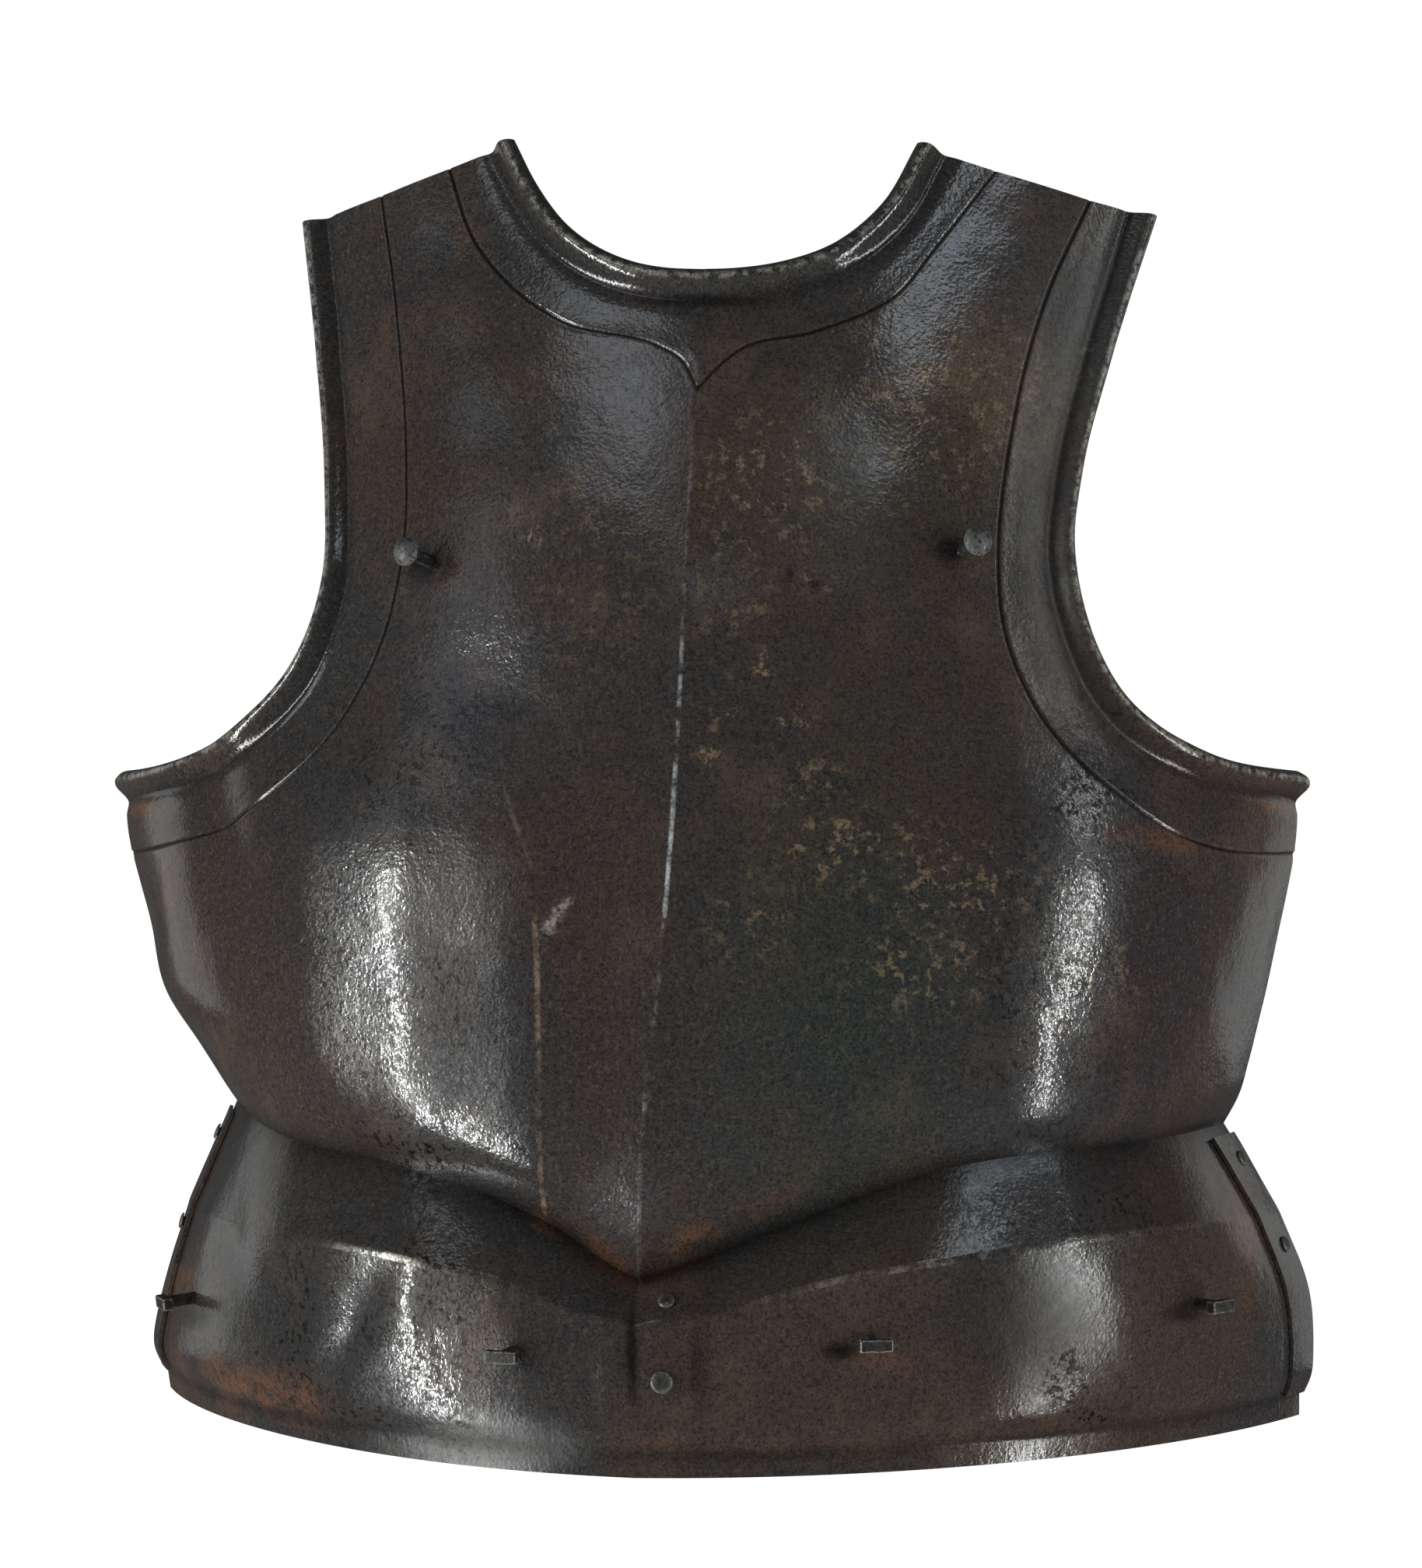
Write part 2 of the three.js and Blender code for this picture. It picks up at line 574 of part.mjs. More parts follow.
function lathe(profile) {
  return new THREE.LatheGeometry(profile.map(([r, y]) => new THREE.Vector2(r, y)), FASTENER_SIDES);
}

// Profile of a peened tail behind the sheet, up to the shank at the sheet's outer face
function tailProfile(radius, height, shankRadius, grip) {
  const seat = -(grip + SEAT_GAP);
  return [
    [0, seat - height], [radius * 0.7, seat - height * 0.8], [radius, seat - height * 0.25], [radius, seat],
    [shankRadius, seat],
  ];
}

function rivetGeometry(headRadius, grip) {
  const dome = headRadius * 0.55;
  return lathe([
    ...tailProfile(RIVET.tailRadius, RIVET.tailHeight, RIVET.shankRadius, grip),
    [RIVET.shankRadius, SEAT_GAP], [headRadius, SEAT_GAP], [headRadius * 0.94, SEAT_GAP + dome * 0.45],
    [headRadius * 0.66, SEAT_GAP + dome * 0.86], [0, SEAT_GAP + dome],
  ]);
}

function studGeometry() {
  const neck = STUD.height - STUD.headDepth;
  return lathe([
    ...tailProfile(STUD.tailRadius, STUD.tailHeight, STUD.shankRadius, SHEET_THICKNESS),
    [STUD.shankRadius, neck], [STUD.headRadius * 0.75, neck + 0.6], [STUD.headRadius, neck + 2.2],
    [STUD.headRadius * 0.92, neck + 4.0], [STUD.headRadius * 0.6, neck + 5.6],
    [STUD.headRadius * 0.3, STUD.height], [0, STUD.height],
  ]);
}

function pinGeometry() {
  const shank = lathe([
    ...tailProfile(PIN.tailRadius, PIN.tailHeight, PIN.shankRadius, PIN.grip),
    [PIN.shankRadius, PIN.height - PIN.headDepth / 2], [0, PIN.height - PIN.headDepth / 2],
  ]);
  const head = new THREE.BoxGeometry(PIN.headLength, PIN.headDepth, PIN.headHeight);
  head.translate(0, PIN.height - PIN.headDepth / 2, 0);
  return geometryOf(solidOf(shank).add(solidOf(head)));
}

function holeAt(seat, shankRadius) {
  const drill = new THREE.CylinderGeometry(
    shankRadius + HOLE_CLEARANCE, shankRadius + HOLE_CLEARANCE, HOLE_LENGTH, FASTENER_SIDES,
  );
  return solidOf(drill.applyMatrix4(frameOf(seat)));
}

// A side plate lies on the outside of the skirt's end, from under the waist crease to the lip
const SIDE_PLATE = { frontTop: 0.925, frontBottom: 0.95, topRow: 0.12, bottomRow: 3.9, columns: 4, rows: 18 };
function sidePlateGeometry(side) {
  const plate = new Mesh();
  const rows = [];
  for (let r = 0; r <= SIDE_PLATE.rows; r += 1) {
    const row = THREE.MathUtils.lerp(SIDE_PLATE.topRow, SIDE_PLATE.bottomRow, r / SIDE_PLATE.rows);
    const columns = [];
    const front = THREE.MathUtils.lerp(SIDE_PLATE.frontTop, SIDE_PLATE.frontBottom, r / SIDE_PLATE.rows);
    for (let c = 0; c <= SIDE_PLATE.columns; c += 1) {
      const share = THREE.MathUtils.lerp(front, 1, c / SIDE_PLATE.columns);
      columns.push(skirtSeat(share, row, side, SEAT_GAP + SIDE_PLATE_THICKNESS).at);
    }
    rows.push(columns);
  }
  plate.patch(rows, side === RIGHT);
  plate.thicken(SIDE_PLATE_THICKNESS);
  return plate.geometry();
}

// Fasteners and where they sit
const sheetGrip = SHEET_THICKNESS;
const plateGrip = SHEET_THICKNESS + SEAT_GAP + SIDE_PLATE_THICKNESS;
const plateLift = SEAT_GAP + SIDE_PLATE_THICKNESS;
const sideRivetSeat = (height, side) => skirtSeat(0.972, rowAt(0.972, height, side), side, plateLift);
const lapSeat = (share, height) => skirtSeat(share, rowAt(share, height, RIGHT), RIGHT, LAP_LIFT);
const rivets = [
  { name: 'lap_rivet_upper', seat: lapSeat(0.038, 51), head: 2.6, grip: LAP_GRIP },
  { name: 'lap_rivet_lower', seat: lapSeat(0.034, 29), head: 3.5, grip: LAP_GRIP },
  { name: 'side_rivet_left_upper', seat: sideRivetSeat(84, LEFT), head: 2.6, grip: plateGrip },
  { name: 'side_rivet_left_lower', seat: sideRivetSeat(55, LEFT), head: 2.6, grip: plateGrip },
  { name: 'side_rivet_right_upper', seat: sideRivetSeat(82, RIGHT), head: 2.6, grip: plateGrip },
  { name: 'side_rivet_right_lower', seat: sideRivetSeat(55, RIGHT), head: 2.6, grip: plateGrip },
];
const studs = [
  { name: 'strap_stud_left', seat: chestSeat(-81.2, 273.5, LEFT) },
  { name: 'strap_stud_right', seat: chestSeat(85.1, 278.5, RIGHT) },
];
const pins = [
  { name: 'turning_pin_1', side: LEFT, share: 0.81, height: 36.5, tilt: -7 },
  { name: 'turning_pin_2', side: LEFT, share: 0.16, height: 36.5, tilt: -2 },
  { name: 'turning_pin_3', side: RIGHT, share: 0.278, height: 41, tilt: 0 },
  { name: 'turning_pin_4', side: RIGHT, share: 0.746, height: 44, tilt: 2 },
];
for (const pin of pins) {
  pin.seat = skirtSeat(pin.share, rowAt(pin.share, pin.height, pin.side), pin.side);
  pin.seat.axis.z = 0;
  pin.seat.axis.normalize();
  pin.seat.axis.z = Math.tan(THREE.MathUtils.degToRad(pin.tilt));
  pin.seat.axis.normalize();
}

const breastplate = new THREE.Group();
breastplate.position.set(-BOX_CENTRE_X, -BOX_CENTRE_Y, 0);

function add(name, geometry, material, seat) {
  const mesh = new THREE.Mesh(geometry, material);
  mesh.name = name;
  if (seat) {
    const place = frameOf(seat);
    mesh.quaternion.setFromRotationMatrix(place);
    mesh.position.setFromMatrixPosition(place);
  }
  breastplate.add(mesh);
}

// The sheet, with its holes
const sheet = new Mesh();
addHalf(sheet, LEFT);
addHalf(sheet, RIGHT);
sheet.thicken(SHEET_THICKNESS);
let sheetSolid = solidOf(sheet.geometry());
for (const { seat } of rivets) sheetSolid = sheetSolid.subtract(holeAt(seat, RIVET.shankRadius));
for (const { seat } of studs) sheetSolid = sheetSolid.subtract(holeAt(seat, STUD.shankRadius));
for (const { seat } of pins) sheetSolid = sheetSolid.subtract(holeAt(seat, PIN.shankRadius));
add('breastplate_sheet', geometryOf(sheetSolid), darkSteel());

for (const side of [LEFT, RIGHT]) {
  let plate = solidOf(sidePlateGeometry(side));
  for (const { name, seat } of rivets) {
    const held = name.startsWith(`side_rivet_${sideName(side)}`);
    if (held) plate = plate.subtract(holeAt(seat, RIVET.shankRadius));
  }
  add(`side_plate_${sideName(side)}`, geometryOf(plate), darkSteel());
}
for (const { name, seat, head, grip } of rivets) add(name, rivetGeometry(head, grip), darkSteel(), seat);
for (const { name, seat } of studs) add(name, studGeometry(), wornSteel(), seat);
for (const { name, seat } of pins) add(name, pinGeometry(), wornSteel(), seat);

export default breastplate;
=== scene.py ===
"""Steel breastplate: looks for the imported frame. Lengths in the tables are millimetres."""
import math

import bpy
import numpy as np
from mathutils import Matrix, Vector


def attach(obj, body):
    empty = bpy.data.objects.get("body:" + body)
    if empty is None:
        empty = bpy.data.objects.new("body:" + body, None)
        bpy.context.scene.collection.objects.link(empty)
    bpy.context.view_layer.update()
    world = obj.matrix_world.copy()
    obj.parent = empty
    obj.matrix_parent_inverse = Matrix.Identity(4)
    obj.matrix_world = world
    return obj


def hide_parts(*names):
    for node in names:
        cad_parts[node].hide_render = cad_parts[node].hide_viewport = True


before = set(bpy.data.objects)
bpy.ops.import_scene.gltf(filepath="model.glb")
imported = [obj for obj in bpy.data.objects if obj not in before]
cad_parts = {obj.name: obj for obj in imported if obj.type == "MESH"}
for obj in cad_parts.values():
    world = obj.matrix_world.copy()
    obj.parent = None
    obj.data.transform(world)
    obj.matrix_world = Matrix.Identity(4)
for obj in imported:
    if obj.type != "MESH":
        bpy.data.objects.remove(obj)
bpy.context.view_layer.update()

# The tables are written from the skirt's own zero point; this moves them into the frame.
SHIFT = np.array([6.35, 79.83, 0.0])
SHEET_THICKNESS = 2.0
SIDE_PLATE_THICKNESS = 1.2
SEAT_GAP = 0.3
WRAP = math.radians(72)
LEFT, RIGHT = -1, 1

# Form of the sheet
WAIST_LEVEL, SAG_END_LEVEL = 100.0, 190.0
SECTION_COLUMNS = ("level", "ridge_x", "ridge_y", "left_x", "right_x", "side_y", "box", "keel")
SECTIONS = (
    (100, -6.6, -139, -158, 158.5, -8, 0.15, 0.22),
    (106, -6, -144.5, -163, 162, -8, 0.14, 0.24),
    (118, -4.6, -150.5, -172, 166, -7, 0.12, 0.26),
    (133, -2.6, -151.5, -182.5, 170, -6, 0.1, 0.27),
    (150, 0, -149.5, -187, 174, -4, 0.09, 0.26),
    (187, 2.8, -141, -196, 180.5, 0, 0.04, 0.2),
    (235, 3.6, -126, -180, 173, 4, -0.04, 0.16),
    (285, 3.2, -108, -164, 160, 7, -0.06, 0.12),
    (340, 3, -82, -157, 155, 10, -0.06, 0.06),
    (410, 3, -44, -155, 153, 14, -0.06, 0.02),
)
HEIGHT_COLUMNS = ("share", "left", "right")
WAIST_CREASE = (
    (0, 58, 58), (0.04, 62, 61), (0.08, 67.6, 64.7), (0.12, 73, 68.6),
    (0.18, 78.6, 74.4), (0.24, 83.1, 79.7), (0.3, 86.2, 85), (0.4, 90.4, 91.3),
    (0.5, 91.4, 94), (0.65, 93.5, 94.9), (0.8, 95.5, 94.2), (1, 96, 93),
)
SKIRT_CREASE = (
    (0, 45.5, 45.5), (0.08, 49, 47.5), (0.12, 52.4, 50), (0.18, 57, 55),
    (0.24, 59.2, 58.8), (0.3, 61.2, 61.5), (0.4, 63.7, 64.6), (0.5, 64.7, 67),
    (0.65, 64.3, 68.3), (1, 62, 64.5),
)
BULGE_HEIGHT, LIP_HEIGHT, WALL_MIX = 17.0, 7.0, 0.5
RING_COLUMNS = ("ridge_x", "ridge_y", "left_x", "right_x", "side_y", "box", "keel")
RINGS = {
    "crease": (-6.6, -152, -173.5, 174.8, -6, 0.1, 0.14),
    "wall": (-6, -155.5, -180.5, 184, -5, 0.04, 0.11),
    "bulge": (-5.5, -157.5, -186, 185.5, -4, -0.02, 0.1),
    "lip_top": (-5, -157, -183, 182.5, -4, -0.06, 0.1),
    "foot": (-5, -158.5, -182, 182.5, -4, -0.08, 0.1),
}
LIP_TOP_ROW, FOOT_ROW = 4.0, 5.0

# Edges and incised lines in front view, from the upper end down: (x, height)
ARM_EDGE = {
    LEFT: ((-133, 374), (-125, 333), (-118.5, 292), (-117, 268), (-124, 243), (-141, 222),
           (-163, 208), (-196, 197.5)),
    RIGHT: ((135, 378), (124, 336), (117, 301), (115.5, 281), (120, 257), (134, 230),
            (155, 213.5), (181, 203)),
}
ARM_LINE = {
    LEFT: ((-107, 384.3), (-98, 344), (-92.5, 308), (-90.5, 279), (-95, 252), (-113, 218),
           (-145, 192), (-194.5, 172.5)),
    RIGHT: ((117, 384), (106.4, 357.5), (97.3, 313), (95.5, 275), (98, 255), (110, 228),
            (135.5, 201.5), (158, 185.5), (179, 178)),
}
NECK_EDGE = {
    LEFT: ((-62, 402), (-53, 388), (-42.5, 376.5), (-19, 365), (-9, 363.4), (1.5, 363)),
    RIGHT: ((64.5, 401.5), (55, 383), (42, 371.3), (26, 365.4), (12, 363.4), (1.5, 363)),
}
NECK_LINE = {
    LEFT: ((-84, 393.3), (-73.3, 371), (-59, 357.3), (-42.7, 348.2), (-9.3, 340.6),
           (-2.8, 337.2), (3.3, 328)),
    RIGHT: ((88.5, 393.5), (71.6, 370), (61, 356), (38.3, 345.4), (15.1, 339.6),
            (10.6, 336), (3.3, 328)),
}
# The turned edge: (distance from the rim, how far the sheet stands out)
TURNED_EDGE = ((0.0, 2.0), (0.7, 3.3), (1.6, 4.2), (3.0, 4.8), (4.4, 4.4), (5.6, 3.2),
               (6.8, 1.5), (8.0, 0.1), (9.2, -0.6), (11.0, -0.4), (13.0, 0.0))

# Relief seen in front view
FACET_CREASE = ((82, -36.6), (117, -36.8), (164, -38.8), (187, -42.0), (201, -49.0), (233, -55.0))
FACET_RISE, FACET_REACH, FACET_BACK, FACET_TOP, FACET_FADE = 2.4, 24.0, 62.0, 235.0, 90.0
DENT_COLUMNS = ("x", "z", "radius_x", "radius_z", "turn", "depth")
DENTS = (
    (-147, 188, 9, 26, 12, 2.4),
    (-170, 150, 12, 24, -8, -1.6),
    (-158, 196, 8, 12, 0, 1.2),
    (-148, 60, 12, 15, 0, 2.2),
    (-98, 41, 6, 17, -32, 2.2),
    (-80, 47, 7, 12, -30, -0.9),
    (-128, 40, 14, 12, 0, 1.2),
    (40, 160, 26, 60, 0, 0.9),
    (-82, 145, 13, 50, 7, -0.9),
    (112, 120, 18, 40, 8, -0.8),
    (16, 270, 13, 10, 0, -0.7),
    (112, 40, 13, 20, 0, -0.7),
    (22, 92, 14, 18, 0, 0.8),
)
# How far the second crease of the skirt stands out
CREASE_STAND = (
    (0, 0.6, 0.6), (0.1, 2.2, 2.2), (0.3, 3.2, 3.2), (0.5, 3, 3.4), (0.6, 1.6, 3.2),
    (0.72, 0.2, 2.8), (0.84, 0, 1.8), (0.95, 0, 0.4), (1, 0, 0),
)
CREASE_ROW, CREASE_FALL_ROWS = 1.0, 1.1
LAP_SHARE, LAP_STEP, LAP_RISE, LAP_ROUND = 0.08, 0.004, 1.6, 0.03
LAP_FOOT = (18.0, 26.0)
# The folded edge that stands up on the left of the lap
FOLD_RISE, FOLD_SHARE, FOLD_HALF, FOLD_TOP = 0.8, 0.034, 0.012, (56.0, 46.0)


class Curve1D:
    """A smooth curve through a table's rows, as in the part's source."""

    def __init__(self, xs, ys):
        self.xs, self.ys = np.asarray(xs, float), np.asarray(ys, float)
        step = np.diff(self.xs)
        rise = np.diff(self.ys) / step
        slope = np.empty(len(self.xs))
        slope[0], slope[-1] = rise[0], rise[-1]
        slope[1:-1] = (rise[:-1] * step[1:] + rise[1:] * step[:-1]) / (step[1:] + step[:-1])
        self.slope = slope

    def __call__(self, at):
        at = np.clip(at, self.xs[0], self.xs[-1])
        i = np.clip(np.searchsorted(self.xs, at, side="left") - 1, 0, len(self.xs) - 2)
        h = self.xs[i + 1] - self.xs[i]
        s = (at - self.xs[i]) / h
        r = 1 - s
        return ((1 + 2 * s) * r * r * self.ys[i] + s * r * r * h * self.slope[i]
                + s * s * (3 - 2 * s) * self.ys[i + 1] - s * s * r * h * self.slope[i + 1])


def table_curves(rows, columns):
    values = np.array(rows, float)
    return {name: Curve1D(values[:, 0], values[:, k]) for k, name in enumerate(columns) if k}


SECTION_CURVES = table_curves(SECTIONS, SECTION_COLUMNS)
WAIST_CURVES = table_curves(WAIST_CREASE, HEIGHT_COLUMNS)
CREASE_CURVES = table_curves(SKIRT_CREASE, HEIGHT_COLUMNS)
TURNED_CURVE = Curve1D(*zip(*TURNED_EDGE))
FACET_CURVE = Curve1D(*zip(*FACET_CREASE))
STAND_CURVES = table_curves(CREASE_STAND, HEIGHT_COLUMNS)


def side_name(side):
    return "left" if side == LEFT else "right"


def smoothstep(value, low, high):
    t = np.clip((value - low) / (high - low), 0, 1)
    return t * t * (3 - 2 * t)


def mix(a, b, t):
    return a + (b - a) * t


def matched(a, b):
    return np.broadcast_arrays(np.asarray(a, float), np.asarray(b, float))


def reach_wide(turn, box):
    return np.sin(turn) * (1 + box * np.cos(turn) ** 2)


def share_wide(share, section):
    return reach_wide(share * WRAP, section["box"]) / reach_wide(WRAP, section["box"])


def reach_deep(turn, box):
    return np.cos(turn) * (1 + box * np.sin(turn) ** 2)


def arc_point(share, section, side, height):
    """Point of a cross-section: share 0 is on the ridge, share 1 on the side edge."""
    width = section[side_name(side) + "_x"] - section["ridge_x"]
    wide = share_wide(share, section)
    deep_end = reach_deep(WRAP, section["box"])
    deep = (reach_deep(share * WRAP, section["box"]) - deep_end) / (1 - deep_end)
    keel = section["keel"] * np.abs(width) * wide * (1 - wide) ** 2
    y = section["side_y"] - (section["side_y"] - section["ridge_y"]) * deep + keel
    x = section["ridge_x"] + width * wide
    return np.stack(np.broadcast_arrays(x, y, height), axis=-1).astype(float)


def section_at(level):
    return {name: curve(level) for name, curve in SECTION_CURVES.items()}


def height_of(share, level, side):
    sag = WAIST_LEVEL - WAIST_CURVES[side_name(side)](share)
    fade = np.clip((SAG_END_LEVEL - level) / (SAG_END_LEVEL - WAIST_LEVEL), 0, 1)
    return level - sag * fade * fade


def chest_point(share, level, side):
    share, level = matched(share, level)
    return arc_point(share, section_at(level), side, height_of(share, level, side))


def skirt_point(share, row, side):
    """Point of the skirt: row 0 is the waist crease and row 5 the standing edge."""
    share, row = matched(share, row)
    crease_height = CREASE_CURVES[side_name(side)](share)
    waist = chest_point(share, np.full_like(share, WAIST_LEVEL), side)
    heights = (crease_height, mix(BULGE_HEIGHT, crease_height, WALL_MIX), BULGE_HEIGHT, LIP_HEIGHT, 0.0)
    rings = [arc_point(share, dict(zip(RING_COLUMNS, ring)), side, height)
             for ring, height in zip(RINGS.values(), heights)]
    crease, lip_top, foot = rings[0], rings[3], rings[4]
    points = np.stack(rings[:4])
    rise = np.diff(points, axis=0)
    slopes = np.stack([rise[0], (rise[0] + rise[1]) / 2, (rise[1] + rise[2]) / 2, rise[2]])
    at = np.clip(row, 1, LIP_TOP_ROW) - 1
    i = np.clip(np.ceil(at).astype(int) - 1, 0, 2)
    pick = lambda stack, k: np.take_along_axis(stack, k[None, ..., None], axis=0)[0]
    s = (at - i)[..., None]
    r = 1 - s
    middle = ((1 + 2 * s) * r * r * pick(points, i) + s * r * r * pick(slopes, i)
              + s * s * (3 - 2 * s) * pick(points, i + 1) - s * s * r * pick(slopes, i + 1))
    row = row[..., None]
    return np.where(row <= 1, mix(waist, crease, row),
                    np.where(row >= LIP_TOP_ROW, mix(lip_top, foot, row - LIP_TOP_ROW), middle))


def unit(vectors):
    return vectors / np.maximum(np.linalg.norm(vectors, axis=-1, keepdims=True), 1e-12)


SHARE_STEP, LEVEL_STEP, ROW_STEP = 2e-3, 0.5, 0.01


def normal_of(surface, share, row, side, row_step, down):
    """Outward normal; both halves meet in one normal on the ridge."""
    share, row = matched(share, row)

    def one(at, on):
        across = surface(np.minimum(at + SHARE_STEP, 1 + SHARE_STEP), row, on) - surface(at, row, on)
        along = surface(at, row + row_step, on) - surface(at, row, on)
        turn = on * (-1 if down else 1)
        return unit(np.cross(across, along) * turn * np.sign(row_step))

    normal = one(share, side)
    on_ridge = share < 1e-6
    if on_ridge.any():
        start = np.full_like(share, 1e-3)
        both = unit(one(start, LEFT) + one(start, RIGHT))
        normal = np.where(on_ridge[..., None], both, normal)
    return normal


def chest_normal(share, level, side):
    return normal_of(chest_point, share, level, side, LEVEL_STEP, False)


def skirt_normal(share, row, side):
    row = np.minimum(np.asarray(row, float), FOOT_ROW - 0.02)
    return normal_of(skirt_point, share, row, side, ROW_STEP, True)


def share_at(x, height, side):
    """Share and level of the chest's point with this x at this height."""
    level = np.array(height, float)
    share = np.zeros_like(level)
    for _ in range(6):
        section = section_at(level)
        width = section[side_name(side) + "_x"] - section["ridge_x"]
        target = np.clip((x - section["ridge_x"]) / width, 0, 1)
        low, high = np.zeros_like(level), np.ones_like(level)
        for _ in range(30):
            share = (low + high) / 2
            wide = share_wide(share, section)
            low = np.where(wide < target, share, low)
            high = np.where(wide < target, high, share)
        level = level + height - height_of(share, level, side)
    return share, level


CURVE_SAMPLES, LINE_SAMPLES = 600, 260


def front_curve(points, side):
    """A curve in front view, read from 0 at its lower end to 1 at its upper end."""
    x, z = np.array(points, float).T
    length = np.concatenate([[0], np.cumsum(np.hypot(np.diff(x), np.diff(z)))])
    places = np.linspace(0, length[-1], CURVE_SAMPLES)
    fine_x, fine_z = Curve1D(length, x)(places), Curve1D(length, z)(places)
    run = np.concatenate([[0], np.cumsum(np.hypot(np.diff(fine_x), np.diff(fine_z)))])
    run /= run[-1]

    def read(part, end_share=None):
        part = np.asarray(part, float)
        x_here, z_here = (np.interp(1 - part, run, fine) for fine in (fine_x, fine_z))
        share, level = share_at(x_here, z_here, side)
        if end_share is not None:
            share = np.where(part <= 0, end_share, share)
        return np.stack([share, level], axis=-1)
    return read


# Relief of the sheet
rng = np.random.RandomState(11)


def lattice_noise(x, z, cell, seed_grid):
    """Smooth noise over the front view, from a small grid of seeded random numbers."""
    n = seed_grid.shape[0]
    gx, gz = x / cell, z / cell
    ix, iz = np.floor(gx).astype(int), np.floor(gz).astype(int)
    fx, fz = gx - ix, gz - iz
    fx, fz = fx * fx * (3 - 2 * fx), fz * fz * (3 - 2 * fz)
    take = lambda a, b: seed_grid[a % n, b % n]
    low = mix(take(ix, iz), take(ix + 1, iz), fx)
    high = mix(take(ix, iz + 1), take(ix + 1, iz + 1), fx)
    return mix(low, high, fz)


HAMMER_SIZES = ((46, 0.45), (21, 0.22), (9, 0.07))
HAMMER_GRIDS = [(cell, rise, rng.uniform(-1, 1, (31, 31))) for cell, rise in HAMMER_SIZES]


def hammer(points):
    """Slight unevenness of hand-beaten sheet."""
    x, y, z = np.moveaxis(points, -1, 0)
    around, upward = x + 0.55 * y + 500, z + 300 + 0.3 * y
    return sum(rise * lattice_noise(around, upward, cell, grid) for cell, rise, grid in HAMMER_GRIDS)


def dents(points):
    relief = np.zeros(points.shape[:-1])
    for row in DENTS:
        d = dict(zip(DENT_COLUMNS, row))
        turn = math.radians(d["turn"])
        dx, dz = points[..., 0] - d["x"], points[..., 2] - d["z"]
        across = (dx * math.cos(turn) + dz * math.sin(turn)) / d["radius_x"]
        along = (dz * math.cos(turn) - dx * math.sin(turn)) / d["radius_z"]
        relief -= d["depth"] * np.exp(-across ** 2 - along ** 2)
    return relief


def facet(points):
    """The crease left of the ridge, where the sheet was bent in."""
    x, z = points[..., 0], points[..., 2]
    away = x - FACET_CURVE(z)
    near = np.clip(1 - away / FACET_REACH, 0, 1) ** 2
    back = smoothstep(FACET_BACK + away, 0, FACET_BACK)
    fade = np.clip((FACET_TOP - z) / FACET_FADE, 0, 1)
    return np.where(x < 0, FACET_RISE * np.where(away > 0, near, back) * fade, 0)


def chest_relief(points, level):
    rise = np.clip((level - WAIST_LEVEL) / 10, 0, 1)
    return (facet(points) + dents(points) + hammer(points)) * rise


def skirt_form(points, share, row, side):
    """The lapped seam and the second crease."""
    start = np.clip(row * 4, 0, 1)
    lap = np.zeros(points.shape[:-1])
    if side == RIGHT:
        up = smoothstep(share, 0, LAP_ROUND)
        down = np.clip((LAP_SHARE + LAP_STEP - share) / LAP_STEP, 0, 1)
        lap = LAP_RISE * up * down * smoothstep(points[..., 2], *LAP_FOOT) * start
    beyond = np.where(row < CREASE_ROW, CREASE_ROW - row, (row - CREASE_ROW) / CREASE_FALL_ROWS)
    return lap + STAND_CURVES[side_name(side)](share) * np.clip(1 - beyond, 0, 1)


def skirt_relief(points, share, row, side):
    start = np.clip(row * 4, 0, 1)
    end = np.clip((LIP_TOP_ROW - row) * 2, 0, 1)
    fold = np.zeros(points.shape[:-1])
    if side == LEFT:
        fold = FOLD_RISE * np.exp(-((share - FOLD_SHARE) / FOLD_HALF) ** 2)
        fold = fold * smoothstep(points[..., 2], *FOLD_TOP) * smoothstep(points[..., 2], *LAP_FOOT)
    small = (fold + (dents(points) + 0.8 * hammer(points)) * end) * start
    return small + skirt_form(points, share, row, side)


def segment_distance(points, lines):
    """Shortest distance from each point to any of the polylines."""
    flat = points.reshape(-1, 3)
    best = np.full(len(flat), 1e9)
    for line in lines:
        a, b = line[:-1], line[1:]
        ab = b - a
        size = np.maximum((ab ** 2).sum(1), 1e-9)
        for k in range(0, len(flat), 2000):
            p = flat[k:k + 2000, None, :]
            t = np.clip(((p - a) * ab).sum(-1) / size, 0, 1)[..., None]
            gap = np.sqrt(((p - a - ab * t) ** 2).sum(-1)).min(1)
            best[k:k + 2000] = np.minimum(best[k:k + 2000], gap)
    return best.reshape(points.shape[:-1])


GROOVE_DEPTH, GROOVE_HALF, BURR_RISE, BURR_HALF = 0.42, 0.8, 0.10, 0.5


def groove(distance):
    """Profile of an incised line, with a slight burr on each side."""
    cut = -GROOVE_DEPTH * np.clip(1 - distance / GROOVE_HALF, 0, 1)
    burr = BURR_RISE * np.exp(-((distance - GROOVE_HALF * 1.35) / BURR_HALF) ** 2)
    return cut + burr


def incised_lines():
    lines = []
    for side in (LEFT, RIGHT):
        for table, end in ((ARM_LINE, 1.0), (NECK_LINE, 0.0)):
            part = np.linspace(0, 1, LINE_SAMPLES)
            place = front_curve(table[side], side)(part, end)
            lines.append(chest_point(place[:, 0], place[:, 1], side))
    return lines


LINES = incised_lines()


